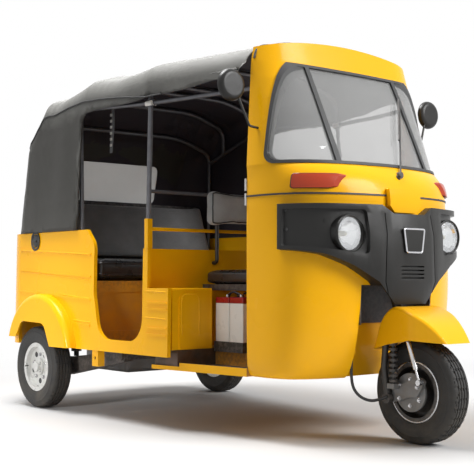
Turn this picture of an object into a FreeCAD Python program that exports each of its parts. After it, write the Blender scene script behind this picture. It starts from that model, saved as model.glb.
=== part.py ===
import FreeCAD, Part
import math
import os

# A three-wheeled auto rickshaw, built as an assembly of separate solids, in millimetres.
# X points forwards, Y to the vehicle's left, Z up, and the ground is Z = 0.
# Pieces are drawn with the axles at plus and minus half the wheelbase, and every solid is
# moved along X on export, so that the origin is the middle of the footprint.

V = FreeCAD.Vector
X_AXIS, Y_AXIS, Z_AXIS = V(1, 0, 0), V(0, 1, 0), V(0, 0, 1)
OUT = "parts"

# Running gear
WHEELBASE = 2000.0
TRACK = 1150.0
TYRE_RADIUS = 205.0
# Half of a tyre's section, as radius and offset, from the bead to the crown.
TYRE_PROFILE = ((108.0, 40.7), (119.8, 40.7), (158.0, 52.5), (194.0, 48.0), (205.0, 34.0))
BEAD_WIDTH = 82.0
RIM_FLANGE_RADIUS = 118.0
RIM_FLANGE_WIDTH = 9.0
RIM_SEAT_RADIUS = 107.0
RIM_WALL = 5.0
RIM_DISH_RADIUS = 88.0
RIM_DISH_DEPTH = 16.0
HUB_RADIUS = 42.0
HUB_LENGTH = 60.0
HUB_CAP_RADIUS = 24.0
HUB_CAP_LENGTH = 18.0
HUB_BORE = 12.3
WHEEL_BOLT_RADIUS = 7.0
WHEEL_BOLT_HEIGHT = 10.0
WHEEL_BOLT_CIRCLE = 30.0
WHEEL_BOLTS = 4
AXLE_RADIUS = 12.0
DRUM_RADIUS = 76.0
DRUM_WIDTH = 34.0
RUNNING_GAP = 6.0

FRONT_AXLE_X = WHEELBASE / 2
REAR_AXLE_X = -WHEELBASE / 2
REAR_WHEEL_Y = TRACK / 2

# Body shell
WALL = 18.0
SHEET = 12.0
SEAT_GAP = 0.3
CUT = 60.0
BODY_HALF_WIDTH = 605.0
BODY_TOP_HALF_WIDTH = 592.0
BODY_REAR_X = -1400.0
BODY_CORNER = 180.0
BODY_WAIST_Z = 888.0
BODY_SILL_Z = 315.0
BODY_FRONT_X = 107.0
BUMPER_REACH = 30.0
BODY_ARCH_RADIUS = 250.0
DOOR_REAR_X = -492.0
DOOR_FRONT_X = -86.0
DOOR_SILL_Z = 371.0
DOOR_CORNER = 105.0
DOOR_TOP_CORNER = 70.0
POST_TOP_Z = 786.0
BOX_TOP_Z = 611.0
BOX_INNER_Y = 356.0
BOX_EMBOSS = 5.0
BOX_EMBOSS_HALF = 74.0
BOX_EMBOSS_TOP_Z = 590.0
BOX_EMBOSS_BASE_Z = 352.0
RIB_HEIGHT = 9.0
RIB_PROUD = 3.5
RIB_DROP_SHARE = 0.052
RIB_LEVELS_Z = (806.0, 699.0, 588.0, 466.0)
FRONT_RIB_LEVELS_Z = (548.0, 520.0, 436.0, 408.0)

# Mudguards of the rear wheels
FLARE_Y = 650.0
FLARE_CENTRE_X = -955.0
FLARE_CENTRE_Z = 258.0
FLARE_RADIUS = 318.0
FLARE_FOOT_Z = 318.0
FLARE_TAIL_Z = 352.0
FLARE_WALL = 6.0
FLARE_MOUTH = ((-1172.0, 345.0), (-1104.0, 436.0), (-876.0, 430.0), (-812.0, 310.0))
FLARE_MOUTH_ROUNDS = (0, 46.0, 58.0, 0)
ARCH_CENTRE_Z = 285.0
FLARE_ROUND = 26.0

# Floors
CABIN_FLOOR_Z = 345.0
CABIN_FLOOR_REAR_X = -520.0
DRIVER_FLOOR_Z = 274.0
DRIVER_FLOOR_REAR_X = -65.0
DRIVER_FLOOR_HALF_REAR = 560.0
SILL_LIP = 16.0
SILL_LIP_THICK = 7.0
RISER_FRONT_X = 100.0
RISER_HALF = 540.0
PLINTH_TOP_Z = 332.0
PLINTH_FRONT_X = 325.0
PLINTH_HALF = 330.0

# Cab shell: the plan at each height is a share of the reach and of the half width.
CAB_REAR_X = 505.0
CAB_BASE_Z = 256.0
CAB_HALF_WIDTH = 492.0
CAB_TOP_HALF_WIDTH = 446.0
CAB_HEADER_HALF_WIDTH = 468.0
CAB_FRONT_X = 900.0
CAB_SCREEN_FOOT_X = 845.0
CAB_SCREEN_HEAD_X = 617.0
CAB_ROOF_FRONT_X = 588.0
CAB_SEAM_Z = 984.0
CAB_SCREEN_FOOT_Z = 1112.0
CAB_SCREEN_HEAD_Z = 1545.0
CAB_TOP_Z = 1652.0
CAB_CROWN = 44.0
CAB_WALL = 18.0
SEAM_BEAD = 7.0
SEAM_BEAD_PROUD = 3.0
LOWER_PLAN_SHARES = ((0, 1), (0.35, 1), (0.66, 0.94), (0.86, 0.74), (0.955, 0.545), (1, 0.28), (1, 0))
SEAM_PLAN_SHARES = ((0, 1), (0.34, 0.985), (0.64, 0.895), (0.85, 0.70), (0.945, 0.50), (0.99, 0.27), (1, 0))
SCREEN_PLAN_SHARES = ((0, 1), (0.33, 0.98), (0.64, 0.85), (0.83, 0.655), (0.92, 0.46), (0.975, 0.235), (1, 0))
HEAD_PLAN_SHARES = ((0, 1), (0.48, 0.925), (0.80, 0.79), (0.905, 0.64), (0.95, 0.46), (0.985, 0.22), (1, 0))
# Each level below the screen: share of the height from base to screen foot, reach share, width share.
LOWER_LEVEL_SHARES = (
    (0.0, 0.72, 0.93), (0.009, 0.745, 0.962), (0.035, 0.785, 0.985), (0.09, 0.835, 0.995),
    (0.23, 0.91, 1.0), (0.49, 0.965, 1.0),
)
SEAM_LEVEL_SHARES = ((0.79, 1.008, 0.999), (0.87, 1.0, 0.996), (0.915, 0.972, 0.994))

# Screen opening and glass
SCREEN_REAR_X = 602.0
SCREEN_REAR_ROUND = 46.0
SCREEN_HALF_WIDTH = 484.0
SCREEN_FOOT_HALF_WIDTH = 514.0
SCREEN_TOP_ROUND = 88.0
SCREEN_HEAD_DROP = 4.0
GASKET_WIDTH = 13.0
GASKET_PROUD = 4.0
GASKET_INNER = 13.0
GLASS_DEPTH = 5.0
GLASS_THICK = 5.0
STRIP_Y = 263.0
STRIP_WIDTH = 22.0
STRIP_GAP = 1.0

# Recess for the front wheel
WELL_BACK_X = 748.0
WELL_HALF = 213.0
WELL_TOP_Z = 628.0
WELL_ROUND = 40.0
LINER_BOTTOM_Z = 470.0
LINER_THICK = 5.0

# Mask with the lamps
MASK_TOP_Z = 946.0
MASK_MIDDLE_TOP_Z = 913.0
MASK_NOTCH_HALF = 92.0
MASK_NOTCH_SLOPE = 58.0
MASK_OUTER_HALF = 505.0
MASK_SIDE_X = 694.0
MASK_SIDE_BASE_Z = 770.0
MASK_CHEEK_Y = 395.0
MASK_CHEEK_Z = 748.0
MASK_JOWL_Y = 290.0
MASK_JOWL_Z = 704.0
MASK_LEG_Y = 178.0
MASK_LEG_Z = 640.0
MASK_CHIN_Y = 92.0
MASK_CHIN_Z = 550.0
MASK_FRONT_X = 963.0
MASK_SKIN = 7.0
MASK_PLAN_SHARES = (
    (0, 1), (0.32, 1), (0.53, 0.965), (0.70, 0.875), (0.80, 0.78), (0.865, 0.66), (0.915, 0.52), (0.953, 0.38),
    (0.985, 0.21), (1, 0),
)
MASK_TOP_REACH_SHARE = 0.965
MASK_CHIN_REACH_SHARE = 0.955
MASK_WIDTH_GAIN = 10.0
POCKET_INNER_Y = 222.0
POCKET_RIM = 22.0
POCKET_FLOOR = 5.0
POCKET_DEPTH = 16.0
LAMP_Y = 300.0
LAMP_Z = 829.0
LAMP_FACE_X = 894.0
LAMP_RADIUS = 73.0
LAMP_RING = 7.0
LAMP_DEPTH = 62.0
LAMP_SHELL = 3.0
LENS_BULGE = 12.0
LENS_THICK = 4.0
SHIELD_TOP_Y = 138.0
SHIELD_SIDE_Y = 150.0
SHIELD_GROOVE = 4.0
SLOT_TOP_Z = 704.0
SLOT_PITCH = 15.2
SLOT_HEIGHT = 6.0
SLOT_HALF = 69.0
SLOT_COUNT = 4
SLOT_DEPTH = 22.0
BADGE_TOP_HALF = 64.0
BADGE_BASE_HALF = 48.0
BADGE_TOP_Z = 854.0
BADGE_BASE_Z = 756.0
BADGE_THICK = 7.0

# Nose flap over the mask
FLAP_HALF = 92.0
FLAP_TOP_Z = 1016.0
FLAP_BASE_Z = 919.0
FLAP_PROUD = 22.0
FLAP_CHAMFER = 26.0
FLAP_ROUND = 5.0

# Front turn signals
SIGNAL_FRONT_X = 852.0
SIGNAL_REAR_X = 738.0
SIGNAL_TOP_Z = 1065.0
SIGNAL_BASE_Z = 1009.0
SIGNAL_PROUD = 12.0

# Steering axis: a raked line through the steering foot
RAKE_DEG = 18.0
STEER_FOOT_X = 985.0
STEER_FOOT_Z = TYRE_RADIUS
STEM_RADIUS = 21.0
STEM_LOW_Z = 432.0
STEM_TOP_Z = 985.0
HEAD_RADIUS = 28.0
HEAD_GAP = 0.5
HEAD_LOW_Z = 668.0
HEAD_TOP_Z = 800.0
STEM_HOLE = 30.0
HEAD_PLATE_HALF = 44.0
BAR_RADIUS = 12.0
BAR_HALF = 272.0
BAR_SWEEP = 150.0
GRIP_RADIUS = 18.0
GRIP_LENGTH = 115.0
BAR_COVER_HALF = 120.0
BAR_COVER_DEPTH = 120.0
BAR_COVER_HEIGHT = 90.0
BAR_COVER_ROUND = 22.0

# Front mudguard
FENDER_ARCH = (
    (1187.0, 403.0), (1120.0, 476.0), (1030.0, 528.0), (965.0, 542.0), (906.0, 507.0), (874.0, 445.0), (844.0, 368.0),
)
FENDER_LOW_REAR = (915.0, 390.0)
FENDER_LOW_MID = (1040.0, 413.0)
FENDER_HALF = 124.0
FENDER_TIP_HALF = 74.0
FENDER_HEEL_HALF = 118.0
FENDER_WALL = 6.0
FENDER_ROUND = 14.0
FENDER_SHOULDER_X = 1058.0
FENDER_SHOULDER_ROUND = 105.0
FENDER_TOP_Z = 542.0

# Front suspension on the vehicle's right
FORK_Y = -94.0
FORK_RADIUS = 13.0
CROWN_HALF_X = 22.0
CROWN_REAR_X = 888.0
LEG_TOP_X = 901.0
LEG_KNEE_X = 886.0
LEG_KNEE_Z = 300.0
CROWN_HEIGHT = 22.0
CROWN_Z = 450.0
LINK_PIVOT_X = 905.0
LINK_PIVOT_Z = 178.0
LINK_THICK = 14.0
LINK_ROUND = 9.0
LINK_OUTLINE = (
    (872.0, 162.0), (872.0, 198.0), (1020.0, 260.0), (1062.0, 268.0), (1084.0, 254.0), (1044.0, 192.0),
    (1004.0, 186.0), (908.0, 158.0),
)
LINK_SHELF = 20.0
DRUM_PLATE_THICK = 10.0
SPRING_X = 935.0
SPRING_LOW_Z = 238.0
SPRING_TOP_Z = 424.0
SPRING_TURNS = 9
SPRING_RADIUS = 18.0
SPRING_CORE = 7.0
DAMPER_LOW_X = 1068.0
DAMPER_LOW_Z = 250.0
DAMPER_EYE_RADIUS = 11.0
DAMPER_TOP_X = 1005.0
DAMPER_RADIUS = 10.0
DAMPER_ROD_RADIUS = 5.0
DAMPER_BODY_SHARE = 0.28

# Brake hose from the cab to the front link, held at both ends
HOSE_RADIUS = 6.0
HOSE_PATH = (
    (812.0, -201.0, 350.0), (808.9, -203.8, 290.1), (812.3, -200.7, 224.3), (828.8, -185.6, 188.7),
    (854.4, -162.0, 168.7), (884.0, -134.8, 167.3), (917.0, -104.5, 187.3),
)
HOSE_BEND_SHARE = 0.45
GLAND_RADIUS = 14.0
GLAND_LENGTH = 24.0

# Canopy
CANOPY_SKIN = 8.0
CANOPY_FRONT_X = 500.0
CANOPY_SIDE_SPREAD = 4.0
CANOPY_EAVE_DROP = 80.0
CANOPY_EAVE_ROUND = 100.0
CANOPY_RIDGE_HALF_SHARE = 0.60
CANOPY_RIDGE_ROUND = 600.0
CANOPY_HALF = 600.0
# Roof stations from the cab to the rear: place, crown height and half width at the eaves.
CANOPY_STATIONS = (
    (500.0, 1658.0, 496.0), (220.0, 1660.0, 548.0), (-60.0, 1665.0, 600.0), (-330.0, 1646.0, 600.0),
    (-560.0, 1669.0, 600.0), (-700.0, 1638.0, 600.0), (-860.0, 1610.0, 600.0), (-960.0, 1619.0, 600.0),
    (-1080.0, 1495.0, 600.0), (-1200.0, 1440.0, 600.0), (-1400.0, 1350.0, 600.0),
)
# The rear face leans: place and corner radius at the waist and at the height of the frame.
CANOPY_REAR_FOOT = (-1333.0, 180.0)
CANOPY_REAR_HEAD = (-1202.0, 150.0)
CANOPY_REAR_HEAD_Z = 1440.0
CANOPY_TOP_Z = 1700.0
# The doorway's edge: up the quarter, round its corner and along the valance to the cab.
CANOPY_EDGE = (
    (-641.0, 0.0), (-641.0, 900.0), (-604.0, 1449.0), (-456.0, 1454.0), (-267.0, 1450.0), (-145.0, 1450.0),
    (-20.0, 1461.0), (172.0, 1465.0), (268.0, 1478.0), (344.0, 1486.0), (560.0, 1483.0), (560.0, 0.0),
)
CANOPY_EDGE_ROUNDS = (0, 400.0, 58.0, 300.0, 300.0, 200.0, 300.0, 200.0, 400.0, 200.0, 0, 0)
WINDOW_HALF = 300.0
WINDOW_BASE_Z = 1090.0
WINDOW_TOP_Z = 1305.0
WINDOW_ROUND = 34.0
WINDOW_THICK = 3.0

# Canopy frame
BOW_RADIUS = 11.0
BOW_INSET = 27.0
BOW_SAMPLES = 400
HOOP_X = (-655.0, -1090.0)
HOOP_DEPTH = 60.0
BOW_X = (-560.0, -960.0)
HOOP_FOOT_Y = 561.6
RAIL_RADIUS = 10.0
RAIL_Z = 1434.0
RAIL_QUARTER_Z = 1478.0
RAIL_REAR_Z = 1330.0
POLE_X = -60.0
POLE_Y = 583.0
POLE_RADIUS = 11.0
SOCKET_HALF = 13.0
SOCKET_TOP_Z = 918.0
BAR_HIGH_Z = 1041.0
BAR_LOW_Z = 873.0
CROSS_BAR_RADIUS = 8.0
CLAMP_RADIUS = 17.0
CLAMP_LENGTH = 46.0

# Passenger seat
BENCH_FRONT_X = -516.0
BENCH_REAR_X = -985.0
BENCH_HALF = 560.0
BENCH_BASE_Z = 642.0
BENCH_TOP_Z = 748.0
BENCH_ROUND = 38.0
BACK_FOOT_X = -985.0
BACK_HEAD_X = -1100.0
BACK_FOOT_Z = 752.0
BACK_HEAD_Z = 1078.0
BACK_THICK = 90.0
BACK_HALF = 546.0
BACK_ROUND = 30.0
SEAT_BOX_FRONT_X = -535.0
SEAT_BOX_WALL = 14.0
SEAT_BOX_REAR_X = -775.0
SEAT_EMBOSS = 6.0
SEAT_EMBOSS_MARGIN = 55.0

# Driver's seat
SADDLE_REAR_X = 0.0
SADDLE_FRONT_X = 400.0
SADDLE_HALF = 330.0
SADDLE_BASE_Z = 628.0
SADDLE_TOP_Z = 690.0
SADDLE_ROUND = 20.0
SADDLE_PAN_Z = 600.0
SADDLE_LEG_HALF = 14.0
DRIVER_BACK_X = 12.0
DRIVER_BACK_THICK = 78.0
DRIVER_BACK_HALF = 345.0
DRIVER_BACK_BASE_Z = 884.0
DRIVER_BACK_TOP_Z = 1058.0
BACK_STAY_Y = 210.0
BACK_STAY_RADIUS = 9.0

# Battery cases under the driver's seat
CASE_LENGTH = 92.0
CASE_DEPTH = 130.0
CASE_HEIGHT = 180.0
CASE_LID = 26.0
CASE_FIRST_STEP = 12.0
CASE_GAP = 5.0
CASE_OUTER_Y = -340.0
CASE_LIFT = 33.0
CASE_EDGE = 5.0
TRAY_WALL = 4.0
TRAY_LIP = 12.0
CASES = 2

# Rear suspension and engine
ARM_PIVOT_X = -430.0
ARM_PIVOT_Z = 284.0
ARM_Y = 450.0
ARM_HALF_WIDTH = 26.0
ARM_FRONT_HALF_HEIGHT = 24.0
ARM_REAR_HALF_HEIGHT = 46.0
CROSS_TUBE_RADIUS = 20.0
PIVOT_PLATE = 12.0
ENGINE_FRONT_X = -780.0
ENGINE_REAR_X = -1190.0
ENGINE_HALF = 215.0
ENGINE_BASE_Z = 165.0
ENGINE_TOP_Z = 420.0
ENGINE_ROUND = 24.0
REAR_DAMPER_X = -905.0
REAR_DAMPER_Y = 440.0
REAR_DAMPER_RADIUS = 26.0
REAR_BEAM_X = -905.0
REAR_BEAM_Z = 572.0
REAR_BEAM_HALF = 24.0

# Rear lid, lamps, bumper
LID_HALF = 330.0
LID_TOP_Z = 800.0
LID_BASE_Z = 472.0
LID_GAP = 6.0
LID_ROUND = 30.0
LID_HINGE_RADIUS = 7.0
LID_HINGE_Y = 200.0
LID_HINGE_LENGTH = 60.0
LOUVRE_COUNT = 5
LOUVRE_PITCH = 34.0
LOUVRE_HEIGHT = 12.0
LOUVRE_HALF = 190.0
LOUVRE_TOP_Z = 640.0
TAIL_Y = 450.0
TAIL_Z = 800.0
TAIL_WIDTH = 70.0
TAIL_HEIGHT = 130.0
TAIL_THICK = 24.0
TAIL_ROUND = 10.0
BUMPER_Z = 336.0
BUMPER_HALF = 400.0
BUMPER_RADIUS = 12.0
BUMPER_STAY_Y = 300.0
BUMPER_STAY_RADIUS = 9.0
PLATE_HOLE_PITCH = 150.0
PLATE_HOLE_RADIUS = 3.5
PLATE_Z = 410.0

# Small fittings
MIRROR_X = 534.0
MIRROR_Y = 604.0
MIRROR_Z = 1426.0
MIRROR_RADIUS = 65.0
MIRROR_DEPTH = 26.0
MIRROR_GLASS = 3.0
MIRROR_FOOT_X = 560.0
MIRROR_FOOT_Y = 476.0
MIRROR_FOOT_Z = 1262.0
MIRROR_STALK_RADIUS = 5.0
WIPER_FOOT_Z = 1078.0
WIPER_FOOT_Y = 26.0
WIPER_ARM_RADIUS = 4.0
WIPER_ARM_TOP = (232.0, 1422.0)
WIPER_BLADE_LOW = (111.0, 1239.0)
WIPER_BLADE_TOP = (236.0, 1440.0)
WIPER_STAND_OFF = 20.0
WIPER_CLIP_SHARE = 0.5
WIPER_BOSS_RADIUS = 14.0
BLADE_HALF = 4.0
STEP_X = -512.0
STEP_WIDTH = 52.0
STEP_DROP = 78.0
STEP_DEPTH = 36.0
STEP_SHEET = 6.0
STEP_HOLE_RADIUS = 8.0

FRONT_END_X = FRONT_AXLE_X + TYRE_RADIUS
REAR_END_X = BODY_REAR_X - BUMPER_REACH
SHIFT_X = -(FRONT_END_X + REAR_END_X) / 2


def box(x0, x1, y0, y1, z0, z1):
    """A box between two corners."""
    return Part.makeBox(x1 - x0, y1 - y0, z1 - z0, V(x0, y0, z0))


def rod(radius, start, end):
    """A round bar between two points."""
    return Part.makeCylinder(radius, (end - start).Length, start, end - start)


def mirrored(shape):
    """The shape's mirror image on the other side of the vehicle."""
    return shape.mirror(V(0, 0, 0), Y_AXIS)


def both_sides(shape):
    """The shape and its mirror image, as one compound of solids."""
    return Part.makeCompound([shape, mirrored(shape)])


def rounded_outline(points, radii, closed=True):
    """A wire through the points, its corners rounded by arcs with the given radii."""
    edges = []
    count = len(points)
    starts, ends, mids = [], [], []
    for i, point in enumerate(points):
        radius = radii[i]
        before, after = points[i - 1], points[(i + 1) % count]
        if radius == 0 or (not closed and i in (0, count - 1)):
            starts.append(point)
            ends.append(point)
            mids.append(None)
            continue
        a, b = (before - point).normalize(), (after - point).normalize()
        half = a.getAngle(b) / 2
        reach = radius / math.tan(half)
        bisector = (a + b).normalize()
        centre = point + bisector * (radius / math.sin(half))
        starts.append(point + a * reach)
        ends.append(point + b * reach)
        mids.append(centre - bisector * radius)
    for i in range(count):
        if mids[i] is not None:
            edges.append(Part.Arc(starts[i], mids[i], ends[i]).toShape())
        if i < count - 1 or closed:
            following = starts[(i + 1) % count]
            if (following - ends[i]).Length > Part.Precision.confusion() * 10:
                edges.append(Part.LineSegment(ends[i], following).toShape())
    return Part.Wire(edges)


def side_prism(points, radii, y0, y1):
    """A solid whose outline is drawn from the side, in X and Z, between two Y planes."""
    wire = rounded_outline([V(x, y0, z) for x, z in points], radii)
    return Part.Face(wire).extrude(V(0, y1 - y0, 0))


def front_prism(points, radii, x0, x1):
    """A solid whose outline is drawn from the front, in Y and Z, between two X planes."""
    wire = rounded_outline([V(x0, y, z) for y, z in points], radii)
    return Part.Face(wire).extrude(V(x1 - x0, 0, 0))


def plan_prism(points, radii, z0, z1):
    """A solid whose outline is drawn from above, in X and Y, between two heights."""
    wire = rounded_outline([V(x, y, z0) for x, y in points], radii)
    return Part.Face(wire).extrude(V(0, 0, z1 - z0))


def bent_tube(points, radius, bend):
    """A round tube along straight runs joined by arcs."""
    bends = [0] + [bend] * (len(points) - 2) + [0]
    path = rounded_outline(points, bends, closed=False)
    ring = Part.Wire(Part.makeCircle(radius, points[0], points[1] - points[0]))
    return path.makePipeShell([ring], True, False)


def edges_along(shape, axis, low, high):
    """The shape's straight edges along an axis whose middle lies between two corners."""
    found = []
    for edge in shape.Edges:
        ends = [v.Point for v in edge.Vertexes]
        if len(ends) != 2:
            continue
        run = ends[1] - ends[0]
        if run.Length == 0 or run.cross(axis).Length > run.Length / CUT:
            continue
        middle = (ends[0] + ends[1]) / 2
        if low.x <= middle.x <= high.x and low.y <= middle.y <= high.y and low.z <= middle.z <= high.z:
            found.append(edge)
    return found


def soft_block(x0, x1, y0, y1, z0, z1, radius):
    """A block with every edge rounded."""
    block = box(x0, x1, y0, y1, z0, z1)
    return block.makeFillet(radius, block.Edges)


def steer_point(z, offset_y=0.0):
    """The point of the steering axis at a height."""
    lean = math.tan(math.radians(RAKE_DEG))
    return V(STEER_FOOT_X - (z - STEER_FOOT_Z) * lean, offset_y, z)


# Cab shell


def plan_wire(shares, reach_x, half_width, z, inset, rear_x):
    """A closed plan outline: a smooth curve round the nose, closed by a straight rear edge."""
    side = []
    reach = reach_x - rear_x
    for x_share, y_share in shares:
        side.append(V(rear_x + x_share * reach, y_share * half_width, z))
    if inset:
        moved = []
        for i, point in enumerate(side):
            before = side[max(i - 1, 0)]
            after = side[min(i + 1, len(side) - 1)]
            run = (after - before).normalize()
            normal = V(0, 1, 0) if i == 0 else V(1, 0, 0) if i == len(side) - 1 else V(-run.y, run.x, 0)
            moved.append(point - normal * inset)
        side = moved
        side[0].x = rear_x
    curve = Part.BSplineCurve()
    ring = side + [V(p.x, -p.y, z) for p in reversed(side[:-1])]
    curve.interpolate(ring)
    back = Part.LineSegment(ring[-1], ring[0]).toShape()
    return Part.Wire([curve.toShape(), back])


def cab_levels():
    """Height, reach, half width and plan shares of each level up to the screen's foot."""
    rise = CAB_SCREEN_FOOT_Z - CAB_BASE_Z
    levels = []
    for z_share, reach_share, width_share in LOWER_LEVEL_SHARES:
        reach = CAB_REAR_X + (CAB_FRONT_X - CAB_REAR_X) * reach_share
        levels.append((CAB_BASE_Z + rise * z_share, reach, CAB_HALF_WIDTH * width_share, LOWER_PLAN_SHARES))
    for z_share, reach_share, width_share in SEAM_LEVEL_SHARES:
        reach = CAB_REAR_X + (CAB_FRONT_X - CAB_REAR_X) * reach_share
        levels.append((CAB_BASE_Z + rise * z_share, reach, CAB_HALF_WIDTH * width_share, SEAM_PLAN_SHARES))
    levels.append((CAB_SCREEN_FOOT_Z, CAB_SCREEN_FOOT_X, CAB_HALF_WIDTH, SCREEN_PLAN_SHARES))
    return levels


def cab_lower(inset, base_z, rear_x):
    """The cab's form up to the foot of the screen."""
    wires = []
    for i, (z, reach, half, shares) in enumerate(cab_levels()):
        wires.append(plan_wire(shares, reach, half, base_z if i == 0 else z, inset, rear_x))
    return Part.makeLoft(wires, True, False)


def cab_upper(inset, rear_x, top_z):
    """The cab's form from the foot of the screen to the roof."""
    rise = CAB_SCREEN_HEAD_Z - CAB_SCREEN_FOOT_Z
    wires = []
    steps = len(SCREEN_PLAN_SHARES)
    for i in range(steps):
        share = i / (steps - 1)
        shares = []
        for low, high in zip(SCREEN_PLAN_SHARES, HEAD_PLAN_SHARES):
            shares.append((low[0] + (high[0] - low[0]) * share, low[1] + (high[1] - low[1]) * share))
        reach = CAB_SCREEN_FOOT_X + (CAB_SCREEN_HEAD_X - CAB_SCREEN_FOOT_X) * share
        half = CAB_HALF_WIDTH + (CAB_HEADER_HALF_WIDTH - CAB_HALF_WIDTH) * share
        wires.append(plan_wire(shares, reach, half, CAB_SCREEN_FOOT_Z + rise * share, inset, rear_x))
    screen = Part.makeLoft(wires, True, True)
    head = [wires[-1], plan_wire(HEAD_PLAN_SHARES, CAB_ROOF_FRONT_X, CAB_TOP_HALF_WIDTH, top_z, inset, rear_x)]
    return screen.fuse(Part.makeLoft(head, True, True))


def well_solid(margin):
    """The recess that the front wheel and its mudguard turn in."""
    half = WELL_HALF + margin
    front_x = MASK_FRONT_X + CUT
    block = box(WELL_BACK_X - margin, front_x, -half, half, CAB_BASE_Z - CUT, WELL_TOP_Z + margin)
    corners = edges_along(block, Z_AXIS, V(0, -half - 1, -CUT), V(WELL_BACK_X + CUT, half + 1, CAB_TOP_Z))
    return block.makeFillet(WELL_ROUND, corners)


def crown_solid(top_z, rear_x):
    """What lies under the arched roof line, as a wide arch along X."""
    half = CAB_HALF_WIDTH + CUT
    drop = CAB_CROWN * (half / CAB_TOP_HALF_WIDTH) ** 2
    arch = Part.Arc(V(rear_x, -half, top_z - drop), V(rear_x, 0, top_z), V(rear_x, half, top_z - drop))
    low_left, low_right = V(rear_x, half, 0), V(rear_x, -half, 0)
    wire = Part.Wire([
        arch.toShape(),
        Part.LineSegment(V(rear_x, half, top_z - drop), low_left).toShape(),
        Part.LineSegment(low_left, low_right).toShape(),
        Part.LineSegment(low_right, V(rear_x, -half, top_z - drop)).toShape(),
    ])
    return Part.Face(wire).extrude(V(MASK_FRONT_X - rear_x, 0, 0))


def screen_opening(shrink):
    """The opening of the wrap-round screen, as seen from the side and from the front together."""
    base_z = CAB_SCREEN_FOOT_Z + shrink
    top_z = CAB_SCREEN_HEAD_Z - SCREEN_HEAD_DROP - shrink
    half = SCREEN_HALF_WIDTH - shrink
    foot_half = SCREEN_FOOT_HALF_WIDTH - shrink
    rear_x = SCREEN_REAR_X + shrink
    front_x = CAB_FRONT_X + CUT
    side = side_prism(
        [(rear_x, base_z), (front_x, base_z), (front_x, top_z + CUT), (rear_x, top_z + CUT)],
        [SCREEN_REAR_ROUND, 0, 0, 0], -CAB_HALF_WIDTH - CUT, CAB_HALF_WIDTH + CUT,
    )
    wide = CAB_HALF_WIDTH + CUT
    front = front_prism(
        [(-wide, base_z - CUT), (wide, base_z - CUT), (wide, base_z + CUT), (foot_half, base_z + CUT),
         (half, top_z), (-half, top_z), (-foot_half, base_z + CUT), (-wide, base_z + CUT)],
        [0, 0, 0, 0, SCREEN_TOP_ROUND, SCREEN_TOP_ROUND, 0, 0], CAB_REAR_X, front_x,
    )
    return side.common(front)


def lamp_hole(margin):
    """Where one lamp passes through the shell and the mask."""
    start = V(LAMP_FACE_X - LAMP_DEPTH - CUT, -LAMP_Y, LAMP_Z)
    return rod(LAMP_RADIUS + margin, start, V(MASK_FRONT_X + CUT, -LAMP_Y, LAMP_Z))


def steering_hole(radius):
    """A hole on the steering axis through the recess's roof."""
    return rod(radius, steer_point(STEM_LOW_Z), steer_point(HEAD_TOP_Z))


def cab_pieces():
    """The lower cab, the bead at the seam and the screen surround."""
    outer_low = cab_lower(0, CAB_BASE_Z, CAB_REAR_X)
    inner_low = cab_lower(CAB_WALL, CAB_BASE_Z + CAB_WALL, CAB_REAR_X - CUT)
    solid = outer_low.cut(well_solid(0))
    solid = solid.cut(inner_low.cut(well_solid(CAB_WALL)))
    wide = CAB_HALF_WIDTH + CUT
    below = box(CAB_REAR_X - CUT, MASK_FRONT_X, -wide, wide, 0, CAB_SEAM_Z)
    above = box(CAB_REAR_X - CUT, MASK_FRONT_X, -wide, wide, CAB_SEAM_Z + SEAM_BEAD, CAB_TOP_Z + CUT)
    lower = solid.common(below)
    for hole in (lamp_hole(SEAT_GAP), mirrored(lamp_hole(SEAT_GAP)), steering_hole(STEM_HOLE)):
        lower = lower.cut(hole)
    gland_foot = V(*HOSE_PATH[0]) + Z_AXIS * SEAT_GAP
    lower = lower.fuse(rod(GLAND_RADIUS, gland_foot, gland_foot + Z_AXIS * GLAND_LENGTH))
    outer_up = cab_upper(0, CAB_REAR_X, CAB_TOP_Z).common(crown_solid(CAB_TOP_Z, CAB_REAR_X))
    inner_up = cab_upper(CAB_WALL, CAB_REAR_X - CUT, CAB_TOP_Z)
    inner_up = inner_up.common(crown_solid(CAB_TOP_Z - CAB_WALL, CAB_REAR_X - CUT))
    upper = solid.common(above).fuse(outer_up.cut(inner_up)).cut(screen_opening(0))
    bead_band = box(CAB_REAR_X, MASK_FRONT_X, -wide, wide, CAB_SEAM_Z, CAB_SEAM_Z + SEAM_BEAD)
    bead_outer = cab_lower(-SEAM_BEAD_PROUD, CAB_BASE_Z, CAB_REAR_X)
    bead = bead_outer.cut(cab_lower(CAB_WALL, CAB_BASE_Z, CAB_REAR_X - CUT)).common(bead_band)
    return lower, bead, upper


def glass_pieces():
    """The three panes, the rubber surround and the two division strips."""
    def sheet(outer, inner):
        return cab_upper(outer, CAB_REAR_X, CAB_TOP_Z).cut(cab_upper(inner, CAB_REAR_X - CUT, CAB_TOP_Z))

    opening = screen_opening(SEAT_GAP)
    inside = screen_opening(GASKET_WIDTH)
    rubber = sheet(-GASKET_PROUD, GASKET_INNER)
    gasket = rubber.common(opening.cut(inside))
    wide = CAB_HALF_WIDTH + CUT
    tall = CAB_TOP_Z + CUT
    strip_in, strip_out = STRIP_Y - STRIP_WIDTH / 2, STRIP_Y + STRIP_WIDTH / 2
    strip = rubber.common(inside).common(box(CAB_REAR_X, MASK_FRONT_X, -strip_out, -strip_in, 0, tall))
    gap = STRIP_GAP / 2
    pane = sheet(GLASS_DEPTH, GLASS_DEPTH + GLASS_THICK).common(screen_opening(GASKET_WIDTH + gap))
    middle = pane.common(box(CAB_REAR_X, MASK_FRONT_X, -strip_in + gap, strip_in - gap, 0, tall))
    side = pane.common(box(CAB_REAR_X, MASK_FRONT_X, -wide, -strip_out - gap, 0, tall))
    panes = Part.makeCompound([middle, side, mirrored(side)])
    surround = gasket.fuse([strip, mirrored(strip)])
    return panes, surround


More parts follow.
